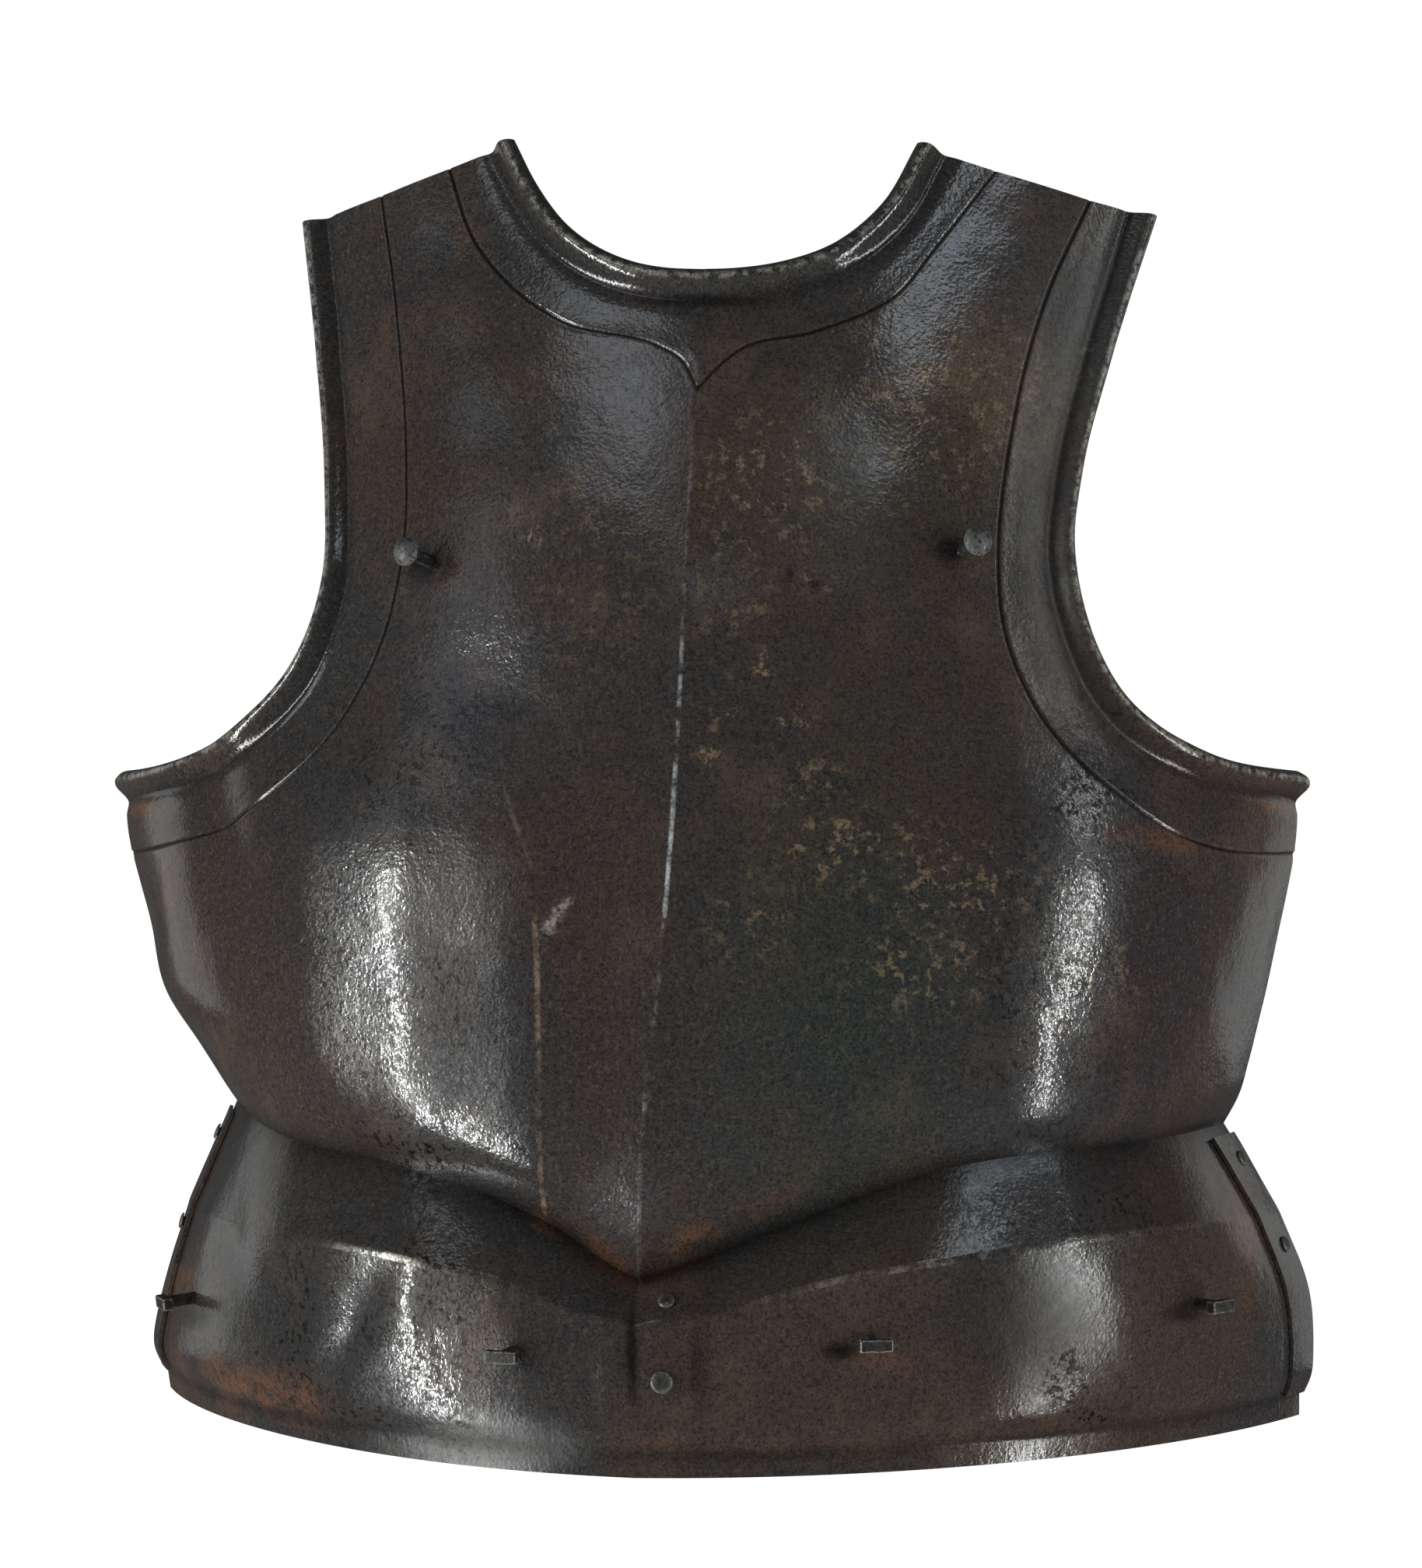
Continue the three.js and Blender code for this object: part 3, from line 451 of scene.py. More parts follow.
# Mesh building
class Sheet:
    """Collects patches, joins their shared corners, and gives the sheet its thickness."""

    def __init__(self):
        self.points, self.faces, self.marks, self.index = [], [], [], {}

    def patch(self, grid, marks, turned):
        rows, columns = grid.shape[:2]
        ids = np.empty((rows, columns), int)
        for r in range(rows):
            for c in range(columns):
                key = tuple(np.round(grid[r, c] * 200).astype(int))
                if key not in self.index:
                    self.index[key] = len(self.points)
                    self.points.append(grid[r, c])
                    self.marks.append(marks[r, c])
                ids[r, c] = self.index[key]
        for r in range(rows - 1):
            for c in range(columns - 1):
                loop = [ids[r, c], ids[r, c + 1], ids[r + 1, c + 1], ids[r + 1, c]]
                if turned:
                    loop.reverse()
                loop = [v for k, v in enumerate(loop) if v != loop[k - 1]]
                if len(loop) > 2 and len(set(loop)) == len(loop):
                    self.faces.append(loop)

    def vertex_normals(self, points):
        normals = np.zeros_like(points)
        for face in self.faces:
            p = points[face]
            if len(face) > 3:
                n = np.cross(p[2] - p[0], p[3] - p[1])
            else:
                n = np.cross(p[1] - p[0], p[2] - p[0])
            n = n / max(np.linalg.norm(n), 1e-12)
            normals[face] += n
        return unit(normals)

    def thicken(self, thickness):
        points = np.array(self.points)
        normals = self.vertex_normals(points)
        inner = points - normals * thickness
        inner[:, 2] = np.where(points[:, 2] < 0.01, 0.0, inner[:, 2])
        count = len(points)
        open_edges = {}
        for face in self.faces:
            for k, a in enumerate(face):
                b = face[(k + 1) % len(face)]
                if (b, a) in open_edges:
                    del open_edges[(b, a)]
                else:
                    open_edges[(a, b)] = True
        faces = list(self.faces)
        faces += [[v + count for v in reversed(face)] for face in self.faces]
        faces += [[b, a, a + count, b + count] for a, b in open_edges]
        return np.vstack([points, inner]), faces, np.vstack([self.marks, self.marks])


# Distances in mm from features that the material reads, but for the painted shade of creases and
# hollows, which is a share
MARKS = ("groove", "grime", "rim", "ridge", "fold")
FAR = 99


def linked(name, data):
    obj = bpy.data.objects.new(name, data)
    bpy.context.scene.collection.objects.link(obj)
    return obj


def write_layer(mesh, name, values):
    layer = mesh.attributes.new(name, "FLOAT", "POINT")
    layer.data.foreach_set("value", np.ascontiguousarray(values, dtype=np.float32))


def read_layer(mesh, name):
    values = np.empty(len(mesh.vertices), np.float32)
    mesh.attributes[name].data.foreach_get("value", values)
    return values


def new_object(name, points, faces, marks=None):
    mesh = bpy.data.meshes.new(name)
    corners = [tuple(p) for p in (points + SHIFT) / 1000]
    mesh.from_pydata(corners, [], [list(map(int, f)) for f in faces])
    mesh.validate()
    mesh.update()
    if marks is not None:
        for k, mark in enumerate(MARKS):
            write_layer(mesh, mark, marks[:, k])
    return linked(name, mesh)


def dress(obj, node_name, body, material, smooth_angle):
    """Gives a piece its look, and says which piece of the frame it stands for."""
    obj.data.shade_smooth()
    obj.data.set_sharp_from_angle(angle=math.radians(smooth_angle))
    obj.data.materials.append(material)
    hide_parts(node_name)
    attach(obj, body)


RIDGE_PART, SIDE_PART, ROW_EASE, TOP_EASE = 0.68, 0.28, 1.4, 1.35
RIDGE_SPAN, FOLD_SPAN = 170.0, 24.0
NEAR_LINE = np.array([0, 0.3, 0.6, 0.9, 1.4, 2.4])
RIM_END, RIM_HOLLOW, HOLLOW_HALF = 13.0, 8.6, 1.7
RIM_STEPS = np.array([0, 0.4, 0.9, 1.6, 2.3, 3.0, 3.7, 4.4, 5.0, 5.6, 6.2, 6.8, 7.4, 8.0, RIM_HOLLOW,
                      9.2, 10.2, 11.4, RIM_END])
# How far above the waist crease the painted shade reaches (mm)
CREASE_SHADE_REACH = 3.5
MAIN_COLUMNS = 96
MAIN_ROWS = (34, 42, 40)
SKIRT_ROW_COUNTS = ((0, 0.03, 2), (0.03, 0.25, 4), (0.25, 0.94, 8), (0.94, 1, 3), (1, 1.05, 3),
                    (1.05, 4, 29), (4, 5, 7))
WAIST_ROWS = (0.002, 0.006, 0.012)


def column_spread(length):
    """Column places of a row of this length, close together near both of its ends."""
    near = NEAR_LINE / length
    middle = np.linspace(near[-1], 1 - near[-1], MAIN_COLUMNS)
    return np.concatenate([near[:-1], middle, (1 - near[:-1])[::-1]])


def chest_vertices(place, side, stand=0.0):
    share, level = place[..., 0], place[..., 1]
    base = chest_point(share, level, side)
    normal = chest_normal(share, level, side)
    gap = segment_distance(base, LINES)
    relief = chest_relief(base, level) + groove(gap) + stand
    return base + normal * relief[..., None], gap


def on_skirt(share, row, side, lift=0.0):
    share, row = matched(share, row)
    base = skirt_point(share, row, side)
    relief = skirt_relief(base, share, row, side) + lift
    return base + skirt_normal(share, row, side) * relief[..., None]


def add_half(sheet, side):
    arm_edge = front_curve(ARM_EDGE[side], side)
    arm_line = front_curve(ARM_LINE[side], side)
    neck_edge = front_curve(NECK_EDGE[side], side)
    neck_line = front_curve(NECK_LINE[side], side)
    spread = np.linspace(0, 1, MAIN_ROWS[2] + 1)[1:]
    rows = np.concatenate([
        [0], WAIST_ROWS, np.linspace(0, SIDE_PART, MAIN_ROWS[0] + 1)[2:],
        np.linspace(SIDE_PART, RIDGE_PART, MAIN_ROWS[1] + 1)[1:],
        RIDGE_PART + (1 - RIDGE_PART) * spread ** TOP_EASE,
    ])

    corner_level = arm_line(0.0, 1.0)[1]
    tip_level = neck_line(0.0, 0.0)[1]
    low_level = mix(WAIST_LEVEL, corner_level, np.minimum(rows / SIDE_PART, 1))
    climb = np.clip((rows - SIDE_PART) / (RIDGE_PART - SIDE_PART), 0, 1) ** ROW_EASE

    def border(start_share, level, part_end, line):
        low = np.stack([np.full_like(rows, start_share), level], -1)
        high = line(np.clip((rows - part_end) / (1 - part_end), 0, 1), start_share)
        return np.where((rows <= part_end)[:, None], low, high)

    inner = border(0.0, mix(low_level, tip_level, climb), RIDGE_PART, neck_line)
    outer = border(1.0, low_level, SIDE_PART, arm_line)
    ends = [chest_point(p[:, 0], p[:, 1], side) for p in (inner, outer)]
    lengths = np.linalg.norm(ends[0] - ends[1], axis=1) * 1.1
    spreads = np.array([column_spread(length) for length in lengths])
    place = inner[:, None, :] + (outer - inner)[:, None, :] * spreads[..., None]
    grid, gap = chest_vertices(place, side)
    # Painted shade, darkest at the waist crease and fading upwards
    grime = np.exp(-(place[..., 1] - WAIST_LEVEL) / CREASE_SHADE_REACH)
    far = np.full_like(gap, FAR)
    marks = np.stack([gap, grime, far, place[..., 0] * RIDGE_SPAN, far], -1)
    sheet.patch(grid, marks, side == LEFT)

    def band(line, edge, part_end, start_share, first_row, turned):
        part = np.clip((rows[rows >= first_row - 1e-9] - part_end) / (1 - part_end), 0, 1)
        on_line, on_edge = line(part, start_share), edge(part, start_share)
        width = np.linalg.norm(chest_point(on_line[:, 0], on_line[:, 1], side)
                               - chest_point(on_edge[:, 0], on_edge[:, 1], side), axis=1)[:, None]
        rim = np.broadcast_to(RIM_STEPS, (len(part), len(RIM_STEPS)))
        middle = mix(RIM_END, width - NEAR_LINE[-1], np.array([0.33, 0.67])[None, :])
        near = width - NEAR_LINE[::-1][None, :]
        distance = np.concatenate([rim, middle, near], axis=1)
        place = on_edge[:, None, :] + (on_line - on_edge)[:, None, :] * (distance / width)[..., None]
        place[:, -1, :] = on_line
        stand = np.where(distance < RIM_END, TURNED_CURVE(distance), 0)
        grid, gap = chest_vertices(place, side, stand)
        # The hollow under the turned edge gets painted shade
        hollow = np.exp(-((distance - RIM_HOLLOW) / HOLLOW_HALF) ** 2)
        far = np.full_like(gap, FAR)
        marks = np.stack([gap, hollow * 0.6, distance, far, far], -1)
        sheet.patch(grid, marks, turned)

    band(arm_line, arm_edge, SIDE_PART, 1.0, SIDE_PART, side == RIGHT)
    band(neck_line, neck_edge, RIDGE_PART, 0.0, RIDGE_PART, side == LEFT)

    share = spreads[0][None, :]
    spans = [np.linspace(first, last, count + 1)[:-1] for first, last, count in SKIRT_ROW_COUNTS]
    row = np.concatenate(spans + [[FOOT_ROW]])
    share, row = np.broadcast_arrays(share, row[:, None])
    grid = on_skirt(share, row, side)
    grid[0] = chest_point(share[0], np.full_like(share[0], WAIST_LEVEL), side)
    # Painted shade at the waist crease and above the lip
    grime = np.maximum(np.exp(-row * 3.5), 0.6 * np.exp(-((row - LIP_TOP_ROW) / 0.3) ** 2))
    far = np.full_like(row, FAR)
    fold = np.abs(row - CREASE_ROW) * FOLD_SPAN
    sheet.patch(grid, np.stack([far, grime, far, far, fold], -1), side == RIGHT)


SIDE_PLATE = {"front_top": 0.925, "front_bottom": 0.95, "top_row": 0.12, "bottom_row": 3.9}


def side_plate(side):
    plate = Sheet()
    row = np.linspace(SIDE_PLATE["top_row"], SIDE_PLATE["bottom_row"], 60)[:, None]
    front = np.linspace(SIDE_PLATE["front_top"], SIDE_PLATE["front_bottom"], 60)[:, None]
    share = mix(front, 1.0, np.linspace(0, 1, 15)[None, :])
    grid = on_skirt(share, row, side, SEAT_GAP + SIDE_PLATE_THICKNESS)
    marks = np.full((*grid.shape[:2], len(MARKS)), float(FAR))
    marks[..., MARKS.index("grime")] = 0
    plate.patch(grid, marks, side == RIGHT)
    return plate.thicken(SIDE_PLATE_THICKNESS)


# Materials
def node(tree, kind, place, inputs=None, **settings):
    item = tree.nodes.new(kind)
    item.location = place
    for key, value in settings.items():
        setattr(item, key, value)
    for key, value in (inputs or {}).items():
        if isinstance(value, bpy.types.NodeSocket):
            tree.links.new(value, item.inputs[key])
        else:
            item.inputs[key].default_value = value
    return item


class Shader:
    """Small helpers that write a procedural material."""

    def __init__(self, name):
        self.material = bpy.data.materials.new(name)
        self.material.use_nodes = True
        self.tree = self.material.node_tree
        self.tree.nodes.clear()
        self.column = 0
        self.coordinates = self.add("ShaderNodeTexCoord").outputs["Object"]

    def add(self, kind, inputs=None, **settings):
        self.column += 1
        place = (180 * (self.column % 12), -220 * (self.column // 12))
        return node(self.tree, kind, place, inputs, **settings)

    def noise(self, scale, detail, roughness, stretch=None):
        vector = self.coordinates
        if stretch:
            scaled = self.add("ShaderNodeVectorMath", {0: vector, 1: stretch}, operation="MULTIPLY")
            vector = scaled.outputs[0]
        return self.add("ShaderNodeTexNoise", {"Vector": vector, "Scale": scale, "Detail": detail,
                                               "Roughness": roughness}).outputs["Fac"]

    def mark(self, name):
        return self.add("ShaderNodeAttribute", attribute_name=name).outputs["Fac"]

    def ramp(self, value, low, high, out_low=0.0, out_high=1.0):
        return self.add("ShaderNodeMapRange", {"Value": value, "From Min": low, "From Max": high,
                                               "To Min": out_low, "To Max": out_high},
                        interpolation_type="SMOOTHSTEP").outputs["Result"]

    def math(self, operation, a, b=0.0):
        return self.add("ShaderNodeMath", {0: a, 1: b}, operation=operation).outputs[0]

    def times(self, a, b):
        return self.math("MULTIPLY", a, b)

    def most(self, a, b):
        return self.math("MAXIMUM", a, b)

    def blend(self, factor, a, b, kind="MIX"):
        item = self.add("ShaderNodeMix", data_type="RGBA", blend_type=kind, clamp_factor=True)
        for socket, value in ((item.inputs[0], factor), (item.inputs[6], a), (item.inputs[7], b)):
            if isinstance(value, bpy.types.NodeSocket):
                self.tree.links.new(value, socket)
            elif isinstance(value, (int, float)):
                socket.default_value = value
            else:
                socket.default_value = (*value, 1.0)
        return item.outputs[2]

    def finish(self, colour, roughness, metallic, bumps, ior):
        normal = None
        for strength, distance, height in bumps:
            inputs = {"Strength": strength, "Distance": distance, "Height": height}
            if normal is not None:
                inputs["Normal"] = normal
            normal = self.add("ShaderNodeBump", inputs).outputs["Normal"]
        shader = self.add("ShaderNodeBsdfPrincipled", {
            "Base Color": colour, "Roughness": roughness, "Metallic": metallic, "IOR": ior,
            "Normal": normal})
        self.add("ShaderNodeOutputMaterial", {"Surface": shader.outputs[0]})
        return self.material


BLUE_BLACK = (0.030, 0.029, 0.029)
RUSSET = (0.044, 0.032, 0.026)
UMBER = (0.084, 0.060, 0.044)
OCHRE = (0.30, 0.215, 0.125)
ORANGE_RUST = (0.190, 0.080, 0.038)
# Grey of the painted sheen
PAINTED_SHEEN_GREY = (0.10, 0.10, 0.105)
WORN_RIDGE = (0.52, 0.55, 0.56)
WORN_CREASE = (0.25, 0.18, 0.12)
PALE_WORN = (0.50, 0.46, 0.40)
# Black of the pits, also used for painted shade
PIT_AND_SHADE_BLACK = (0.007, 0.006, 0.006)
OILED_IOR, BARE_IOR = 1.7, 1.5
# Lines worn bare: distance mark, where the line ends and is full (mm), spots, colour
WORN_LINES = (
    ("crease_gap", 1.3, 0.3, "crease_wear", WORN_CREASE), ("ridge", 0.75, 0.2, "ridge_wear", WORN_RIDGE),
    ("fold", 0.8, 0.2, "fold_wear", PALE_WORN),
)
# Unevenness of the surface: depth in metres, noise scale, detail
SHEET_BUMPS = ((0.0003, 60, 1), (0.0001, 280, 2), (0.00008, 900, 1))
PIT_DEPTH = 0.000014


def sheet_material():
    s = Shader("patinated_steel")
    cloud = s.noise(11, 4, 0.6)
    drift = s.noise(26, 5, 0.62)
    grain = s.noise(640, 4, 0.75)
    streak = s.noise(60, 4, 0.6, stretch=(2.2, 2.2, 0.18))
    tint = s.add("ShaderNodeAttribute", attribute_name="tint").outputs["Color"]
    rust, wear, painted_sheen = s.mark("rust"), s.mark("wear"), s.mark("painted_sheen")

    colour = s.blend(s.ramp(cloud, 0.42, 0.62), BLUE_BLACK, RUSSET)
    colour = s.blend(s.times(s.ramp(drift, 0.5, 0.72), 0.6), colour, UMBER)
    colour = s.blend(s.ramp(streak, 0.45, 0.75, 0, 0.35), colour, BLUE_BLACK)
    colour = s.blend(0.9, colour, tint, "MULTIPLY")
    colour = s.blend(s.ramp(grain, 0.52, 0.64, 0, 0.6), colour, UMBER)
    flecks = s.ramp(s.noise(250, 5, 0.75), 0.54, 0.62)
    rust_mask = s.times(rust, flecks)
    colour = s.blend(s.times(rust_mask, 0.75), colour, OCHRE)
    orange = s.times(s.mark("orange"), s.ramp(s.noise(60, 5, 0.7), 0.36, 0.62))
    colour = s.blend(s.times(orange, 0.75), colour, ORANGE_RUST)
    # Painted sheen: a lighter grey where the highlights fall
    colour = s.blend(s.times(painted_sheen, 0.25), colour, PAINTED_SHEEN_GREY)
    wear_mask = s.times(wear, s.ramp(s.noise(330, 4, 0.65), 0.42, 0.58))
    colour = s.blend(wear_mask, colour, PALE_WORN)
    gaps = s.ramp(s.noise(83, 6, 0.8), 0.44, 0.62)
    for mark, outer, inner, share, pale in WORN_LINES:
        line = s.ramp(s.math("ABSOLUTE", s.mark(mark)), outer, inner)
        colour = s.blend(s.times(line, s.times(s.mark(share), gaps)), colour, pale)
    speck = s.ramp(s.noise(1100, 4, 0.75), 0.3, 0.7, 0.3, 1.8)
    colour = s.blend(0.9, colour, speck, "MULTIPLY")
    # The incised lines hold real grit; the rest is painted shade: the crease and hollow shade and the
    # painted shadows go to black
    dirt_and_painted_shade = s.times(s.ramp(s.mark("groove"), 0.8, 0.1), 0.6)
    dirt_and_painted_shade = s.most(dirt_and_painted_shade, s.times(s.mark("grime"), 0.5))
    dirt_and_painted_shade = s.most(dirt_and_painted_shade, s.mark("painted_shadow"))
    colour = s.blend(dirt_and_painted_shade, colour, PIT_AND_SHADE_BLACK)
    fine_pits = s.ramp(s.noise(1100, 3, 0.75), 0.53, 0.59)
    broad_pits = s.ramp(s.noise(430, 5, 0.75), 0.53, 0.57)
    pits = s.most(s.times(fine_pits, 0.85), broad_pits)
    pits = s.times(pits, s.ramp(drift, 0.35, 0.60, 0.55, 1.0))
    pits = s.times(pits, s.ramp(s.mark("pitted"), 0.0, 0.8, 0.22, 1.0))
    colour = s.blend(s.times(pits, 0.7), colour, PIT_AND_SHADE_BLACK)

    roughness = s.ramp(s.noise(240, 4, 0.65), 0.3, 0.72, 0.08, 0.14)
    duller = ((pits, 0.24), (s.ramp(cloud, 0.4, 0.65), 0.03), (s.mark("matt"), 0.30), (dirt_and_painted_shade, 0.20))
    for where, amount in duller:
        roughness = s.math("ADD", roughness, s.times(where, amount))
    # Black oxide in the pits takes the light, so it counts as black metal there; the painted shade and
    # painted shadows count as black metal too, which takes their reflections away
    metallic = s.most(s.most(s.times(pits, 0.95), dirt_and_painted_shade), s.times(wear_mask, 0.6))
    bumps = [(1.0, depth, s.noise(scale, detail, 0.5)) for depth, scale, detail in SHEET_BUMPS]
    bumps.append((1.0, PIT_DEPTH, s.math("SUBTRACT", 1.0, pits)))
    return s.finish(colour, roughness, metallic, bumps, OILED_IOR)


def fastener_material(name, base, rubbed_and_glint_colour, share_worn):
    """Steel of the small parts; the mark "edge" says where they are painted pale: partly where hands and
    straps rub them, partly a painted highlight along their rims and edges.
    """
    s = Shader(name)
    patch = s.noise(420, 4, 0.65)
    colour = s.blend(s.ramp(patch, 0.42, 0.60), base, tuple(0.4 * v for v in base))
    # Pale on the marked edges: wear, and a painted highlight along rims
    rubbed_and_glint = s.times(s.mark("edge"), s.ramp(s.noise(900, 3, 0.6), 0.34, 0.56))
    spots = s.ramp(s.noise(520, 3, 0.6), 0.66 - share_worn, 0.72 - share_worn)
    rubbed_and_glint_mask = s.most(rubbed_and_glint, spots)
    colour = s.blend(rubbed_and_glint_mask, colour, rubbed_and_glint_colour)
    roughness = s.ramp(s.noise(600, 3, 0.6), 0.3, 0.7, 0.34, 0.6)
    bumps = [(0.6, 0.0004, s.noise(420, 4, 0.6)), (0.5, 0.0002, s.noise(1300, 2, 0.5))]
    return s.finish(colour, roughness, s.times(rubbed_and_glint_mask, 0.5), bumps, BARE_IOR)


# Marks placed by where they show in the front picture
PHOTO_WIDTH, PHOTO_HEIGHT = 1828, 2016
CAMERA_TURN, CAMERA_RISE, CAMERA_DISTANCE, SCALE = 9.0, 5.5, 3200.0, 0.2425
AIM = np.array([3.0, -60.0, 203.0])


def heading(turn, rise):
    """Unit vector from the part towards a light or the camera; 0, 0 is straight in front."""
    turn, rise = math.radians(turn), math.radians(rise)
    return np.array([math.sin(turn) * math.cos(rise), -math.cos(turn) * math.cos(rise), math.sin(rise)])


def camera_axes():
    back = heading(CAMERA_TURN, CAMERA_RISE)
    turn = math.radians(CAMERA_TURN)
    right = np.array([math.cos(turn), math.sin(turn), 0.0])
    return back, right, np.cross(back, right)


def seen(points):
    """Where points show in the front picture, in its own pixels."""
    back, right, up = camera_axes()
    offset = points - AIM
    depth = CAMERA_DISTANCE - offset @ back
    size = CAMERA_DISTANCE / SCALE / depth
    return PHOTO_WIDTH / 2 + offset @ right * size, PHOTO_HEIGHT / 2 - offset @ up * size


SPOT_COLUMNS = ("px", "py", "radius_x", "radius_y", "turn", "amount")
SPOTS = {
    "ridge_wear": (
        (860, 1040, 60, 240, 0, 0.75), (835, 1450, 60, 180, 0, 0.25), (875, 720, 60, 140, 0, 0.2),
    ),
    "fold_wear": ((505, 1612, 70, 30, 0, 1), (1200, 1590, 300, 60, -8, 0.35)),
    "pitted": (
        (525, 1260, 120, 300, -6, 1), (1370, 1200, 80, 330, 8, 1), (500, 1720, 150, 150, 0, 1),
        (1360, 1560, 160, 60, 0, 0.7), (1400, 1780, 60, 60, 0, 1), (620, 960, 120, 100, 0, 0.5),
    ),
    "crease_wear": ((680, 1310, 60, 300, 0, 0.65), (700, 1560, 40, 30, 0, 1)),
    "matt": (
        (1400, 620, 110, 330, 0, 1), (1340, 1700, 90, 90, 0, 0.6), (620, 1860, 150, 40, 0, 1),
        (1000, 620, 130, 130, 0, 0.6),
    ),
    # Painted sheen: lighter grey on the highlight bands and on patches where light is reflected
    "painted_sheen": (
        (815, 520, 70, 90, 0, 0.9), (920, 750, 60, 40, 10, 0.9), (500, 1240, 70, 240, -12, 0.35),
        (1375, 1180, 60, 260, 8, 0.35), (800, 1550, 60, 50, 0, 0.7), (1330, 1450, 110, 60, -15, 0.5),
        (490, 1720, 70, 110, 0, 0.5), (1340, 1540, 110, 60, 0, 0.4), (1075, 745, 60, 25, 0, 0.4),
        (1240, 390, 70, 120, 25, 0.3), (560, 1470, 60, 60, 0, 0.5),
    ),
    "rust": (
        (935, 905, 26, 24, 0, 1), (980, 860, 14, 20, 0, 1), (1022, 922, 24, 30, 20, 0.9),
        (912, 962, 20, 26, 0, 0.8), (1100, 1090, 110, 50, 0, 0.75), (1240, 1140, 130, 70, 0, 0.7),
        (1380, 1250, 80, 80, 0, 0.6), (1040, 1010, 50, 40, 0, 0.6), (1050, 750, 22, 10, 0, 0.9),
        (1190, 1240, 100, 60, 0, 0.6), (820, 560, 60, 16, 0, 0.25), (960, 1180, 60, 60, 0, 0.5),
        (1000, 610, 110, 100, 0, 0.6), (1200, 520, 130, 130, 0, 0.55), (696, 1560, 14, 26, 0, 0.9),
        (1130, 440, 14, 10, 0, 0.8), (1395, 470, 10, 60, 10, 0.5), (760, 700, 120, 200, 0, 0.25),
        (1300, 480, 60, 90, 0, 0.5), (940, 740, 60, 120, 0, 0.4),
    ),
    "orange": (
        (775, 1615, 60, 16, 40, 1), (870, 1600, 60, 14, -25, 0.9), (960, 1560, 70, 14, -28, 0.6),
        (705, 1575, 30, 10, 35, 0.6), (180, 1040, 46, 10, -5, 1),
        (1640, 1040, 50, 9, 0, 0.8), (330, 1790, 110, 34, 14, 0.8), (235, 1645, 16, 18, 0, 0.8),
        (1150, 1750, 90, 16, 0, 0.35), (900, 1600, 60, 12, -30, 0.5), (600, 300, 40, 30, 60, 0.3),
        (250, 1480, 20, 60, 0, 0.25), (1600, 1600, 20, 90, 0, 0.25), (1500, 1080, 90, 14, 8, 0.5),
        (210, 1130, 30, 60, 0, 0.25), (1000, 1860, 200, 10, 0, 0.4),
    ),
    # Painted shadows round the roots of the studs and pins, under the neck rim, along the edges of the
    # lapped seam and beside a dent of the left skirt; also two small spots on the chest, and a patch of
    # the right skirt dimmed to weaken its highlight
    "painted_shadow": (
        (545, 725, 20, 21, 0, 0.9), (1222, 706, 22, 18, 0, 0.7), (1014, 743, 7, 7, 0, 1),
        (1054, 745, 11, 7, 0, 1), (660, 1752, 28, 13, 0, 0.7), (1080, 1737, 26, 12, 0, 0.7),
        (1520, 1688, 26, 12, 0, 0.6), (252, 1692, 18, 16, 0, 0.6), (900, 385, 90, 10, 0, 0.5),
        (1310, 1710, 80, 100, 0, 0.45), (812, 1740, 8, 60, 0, 0.6), (898, 1760, 6, 60, 0, 0.6),
        (480, 1745, 12, 70, 35, 0.35),
    ),
}
# Colour multipliers over the front view: patina tone, and in the bluish rows a painted bluish sheen of
# reflected light
TINT_COLUMNS = ("px", "py", "radius_x", "radius_y", "red", "green", "blue")
TINTS = (
    (1230, 540, 120, 160, 1.55, 1.3, 0.95), (1000, 600, 130, 120, 1.35, 1.15, 0.85),
    (1080, 1280, 130, 260, 0.72, 0.98, 0.86), (780, 1250, 90, 380, 1.1, 0.82, 0.76),
    (600, 900, 90, 200, 0.85, 0.88, 1.1), (540, 500, 90, 200, 0.95, 0.82, 0.8),
    (1490, 1250, 110, 300, 1.02, 0.8, 0.84), (300, 1200, 100, 200, 1.1, 0.88, 0.84),
    (820, 520, 90, 110, 0.95, 1.05, 1.35), (1400, 1030, 90, 90, 0.95, 1, 1.15),
    (1200, 1800, 400, 60, 1.1, 0.95, 0.9), (680, 420, 100, 60, 1.1, 0.95, 0.85),
    (1200, 350, 100, 80, 0.95, 1, 1.15),
)
# Two short scratches: half width, amount, path
SCRATCHES = (
    (4, 0.8, ((727, 1158), (712, 1180), (701, 1199))),
    (2, 0.5, ((676, 688), (694, 696), (702, 684))),
)
RIM_WEAR, RIM_CREST, CREST_HALF = 0.55, 3.0, 1.0


def spot_value(px, py, rows):
    total = np.zeros_like(px)
    for row in rows:
        spot = dict(zip(SPOT_COLUMNS, row))
        turn = math.radians(spot["turn"])
        dx, dy = px - spot["px"], py - spot["py"]
        across = (dx * math.cos(turn) + dy * math.sin(turn)) / spot["radius_x"]
        along = (dy * math.cos(turn) - dx * math.sin(turn)) / spot["radius_y"]
        total = np.maximum(total, spot["amount"] * np.exp(-(across ** 2 + along ** 2) ** 1.5))
    return total


def line_value(px, py, half_width, points):
    path = np.array(points, float)
    best = np.full_like(px, 1e9)
    for a, b in zip(path[:-1], path[1:]):
        ab = b - a
        t = np.clip(((px - a[0]) * ab[0] + (py - a[1]) * ab[1]) / (ab @ ab), 0, 1)
        best = np.minimum(best, np.hypot(px - a[0] - ab[0] * t, py - a[1] - ab[1] * t))
    return np.exp(-(best / half_width) ** 2)


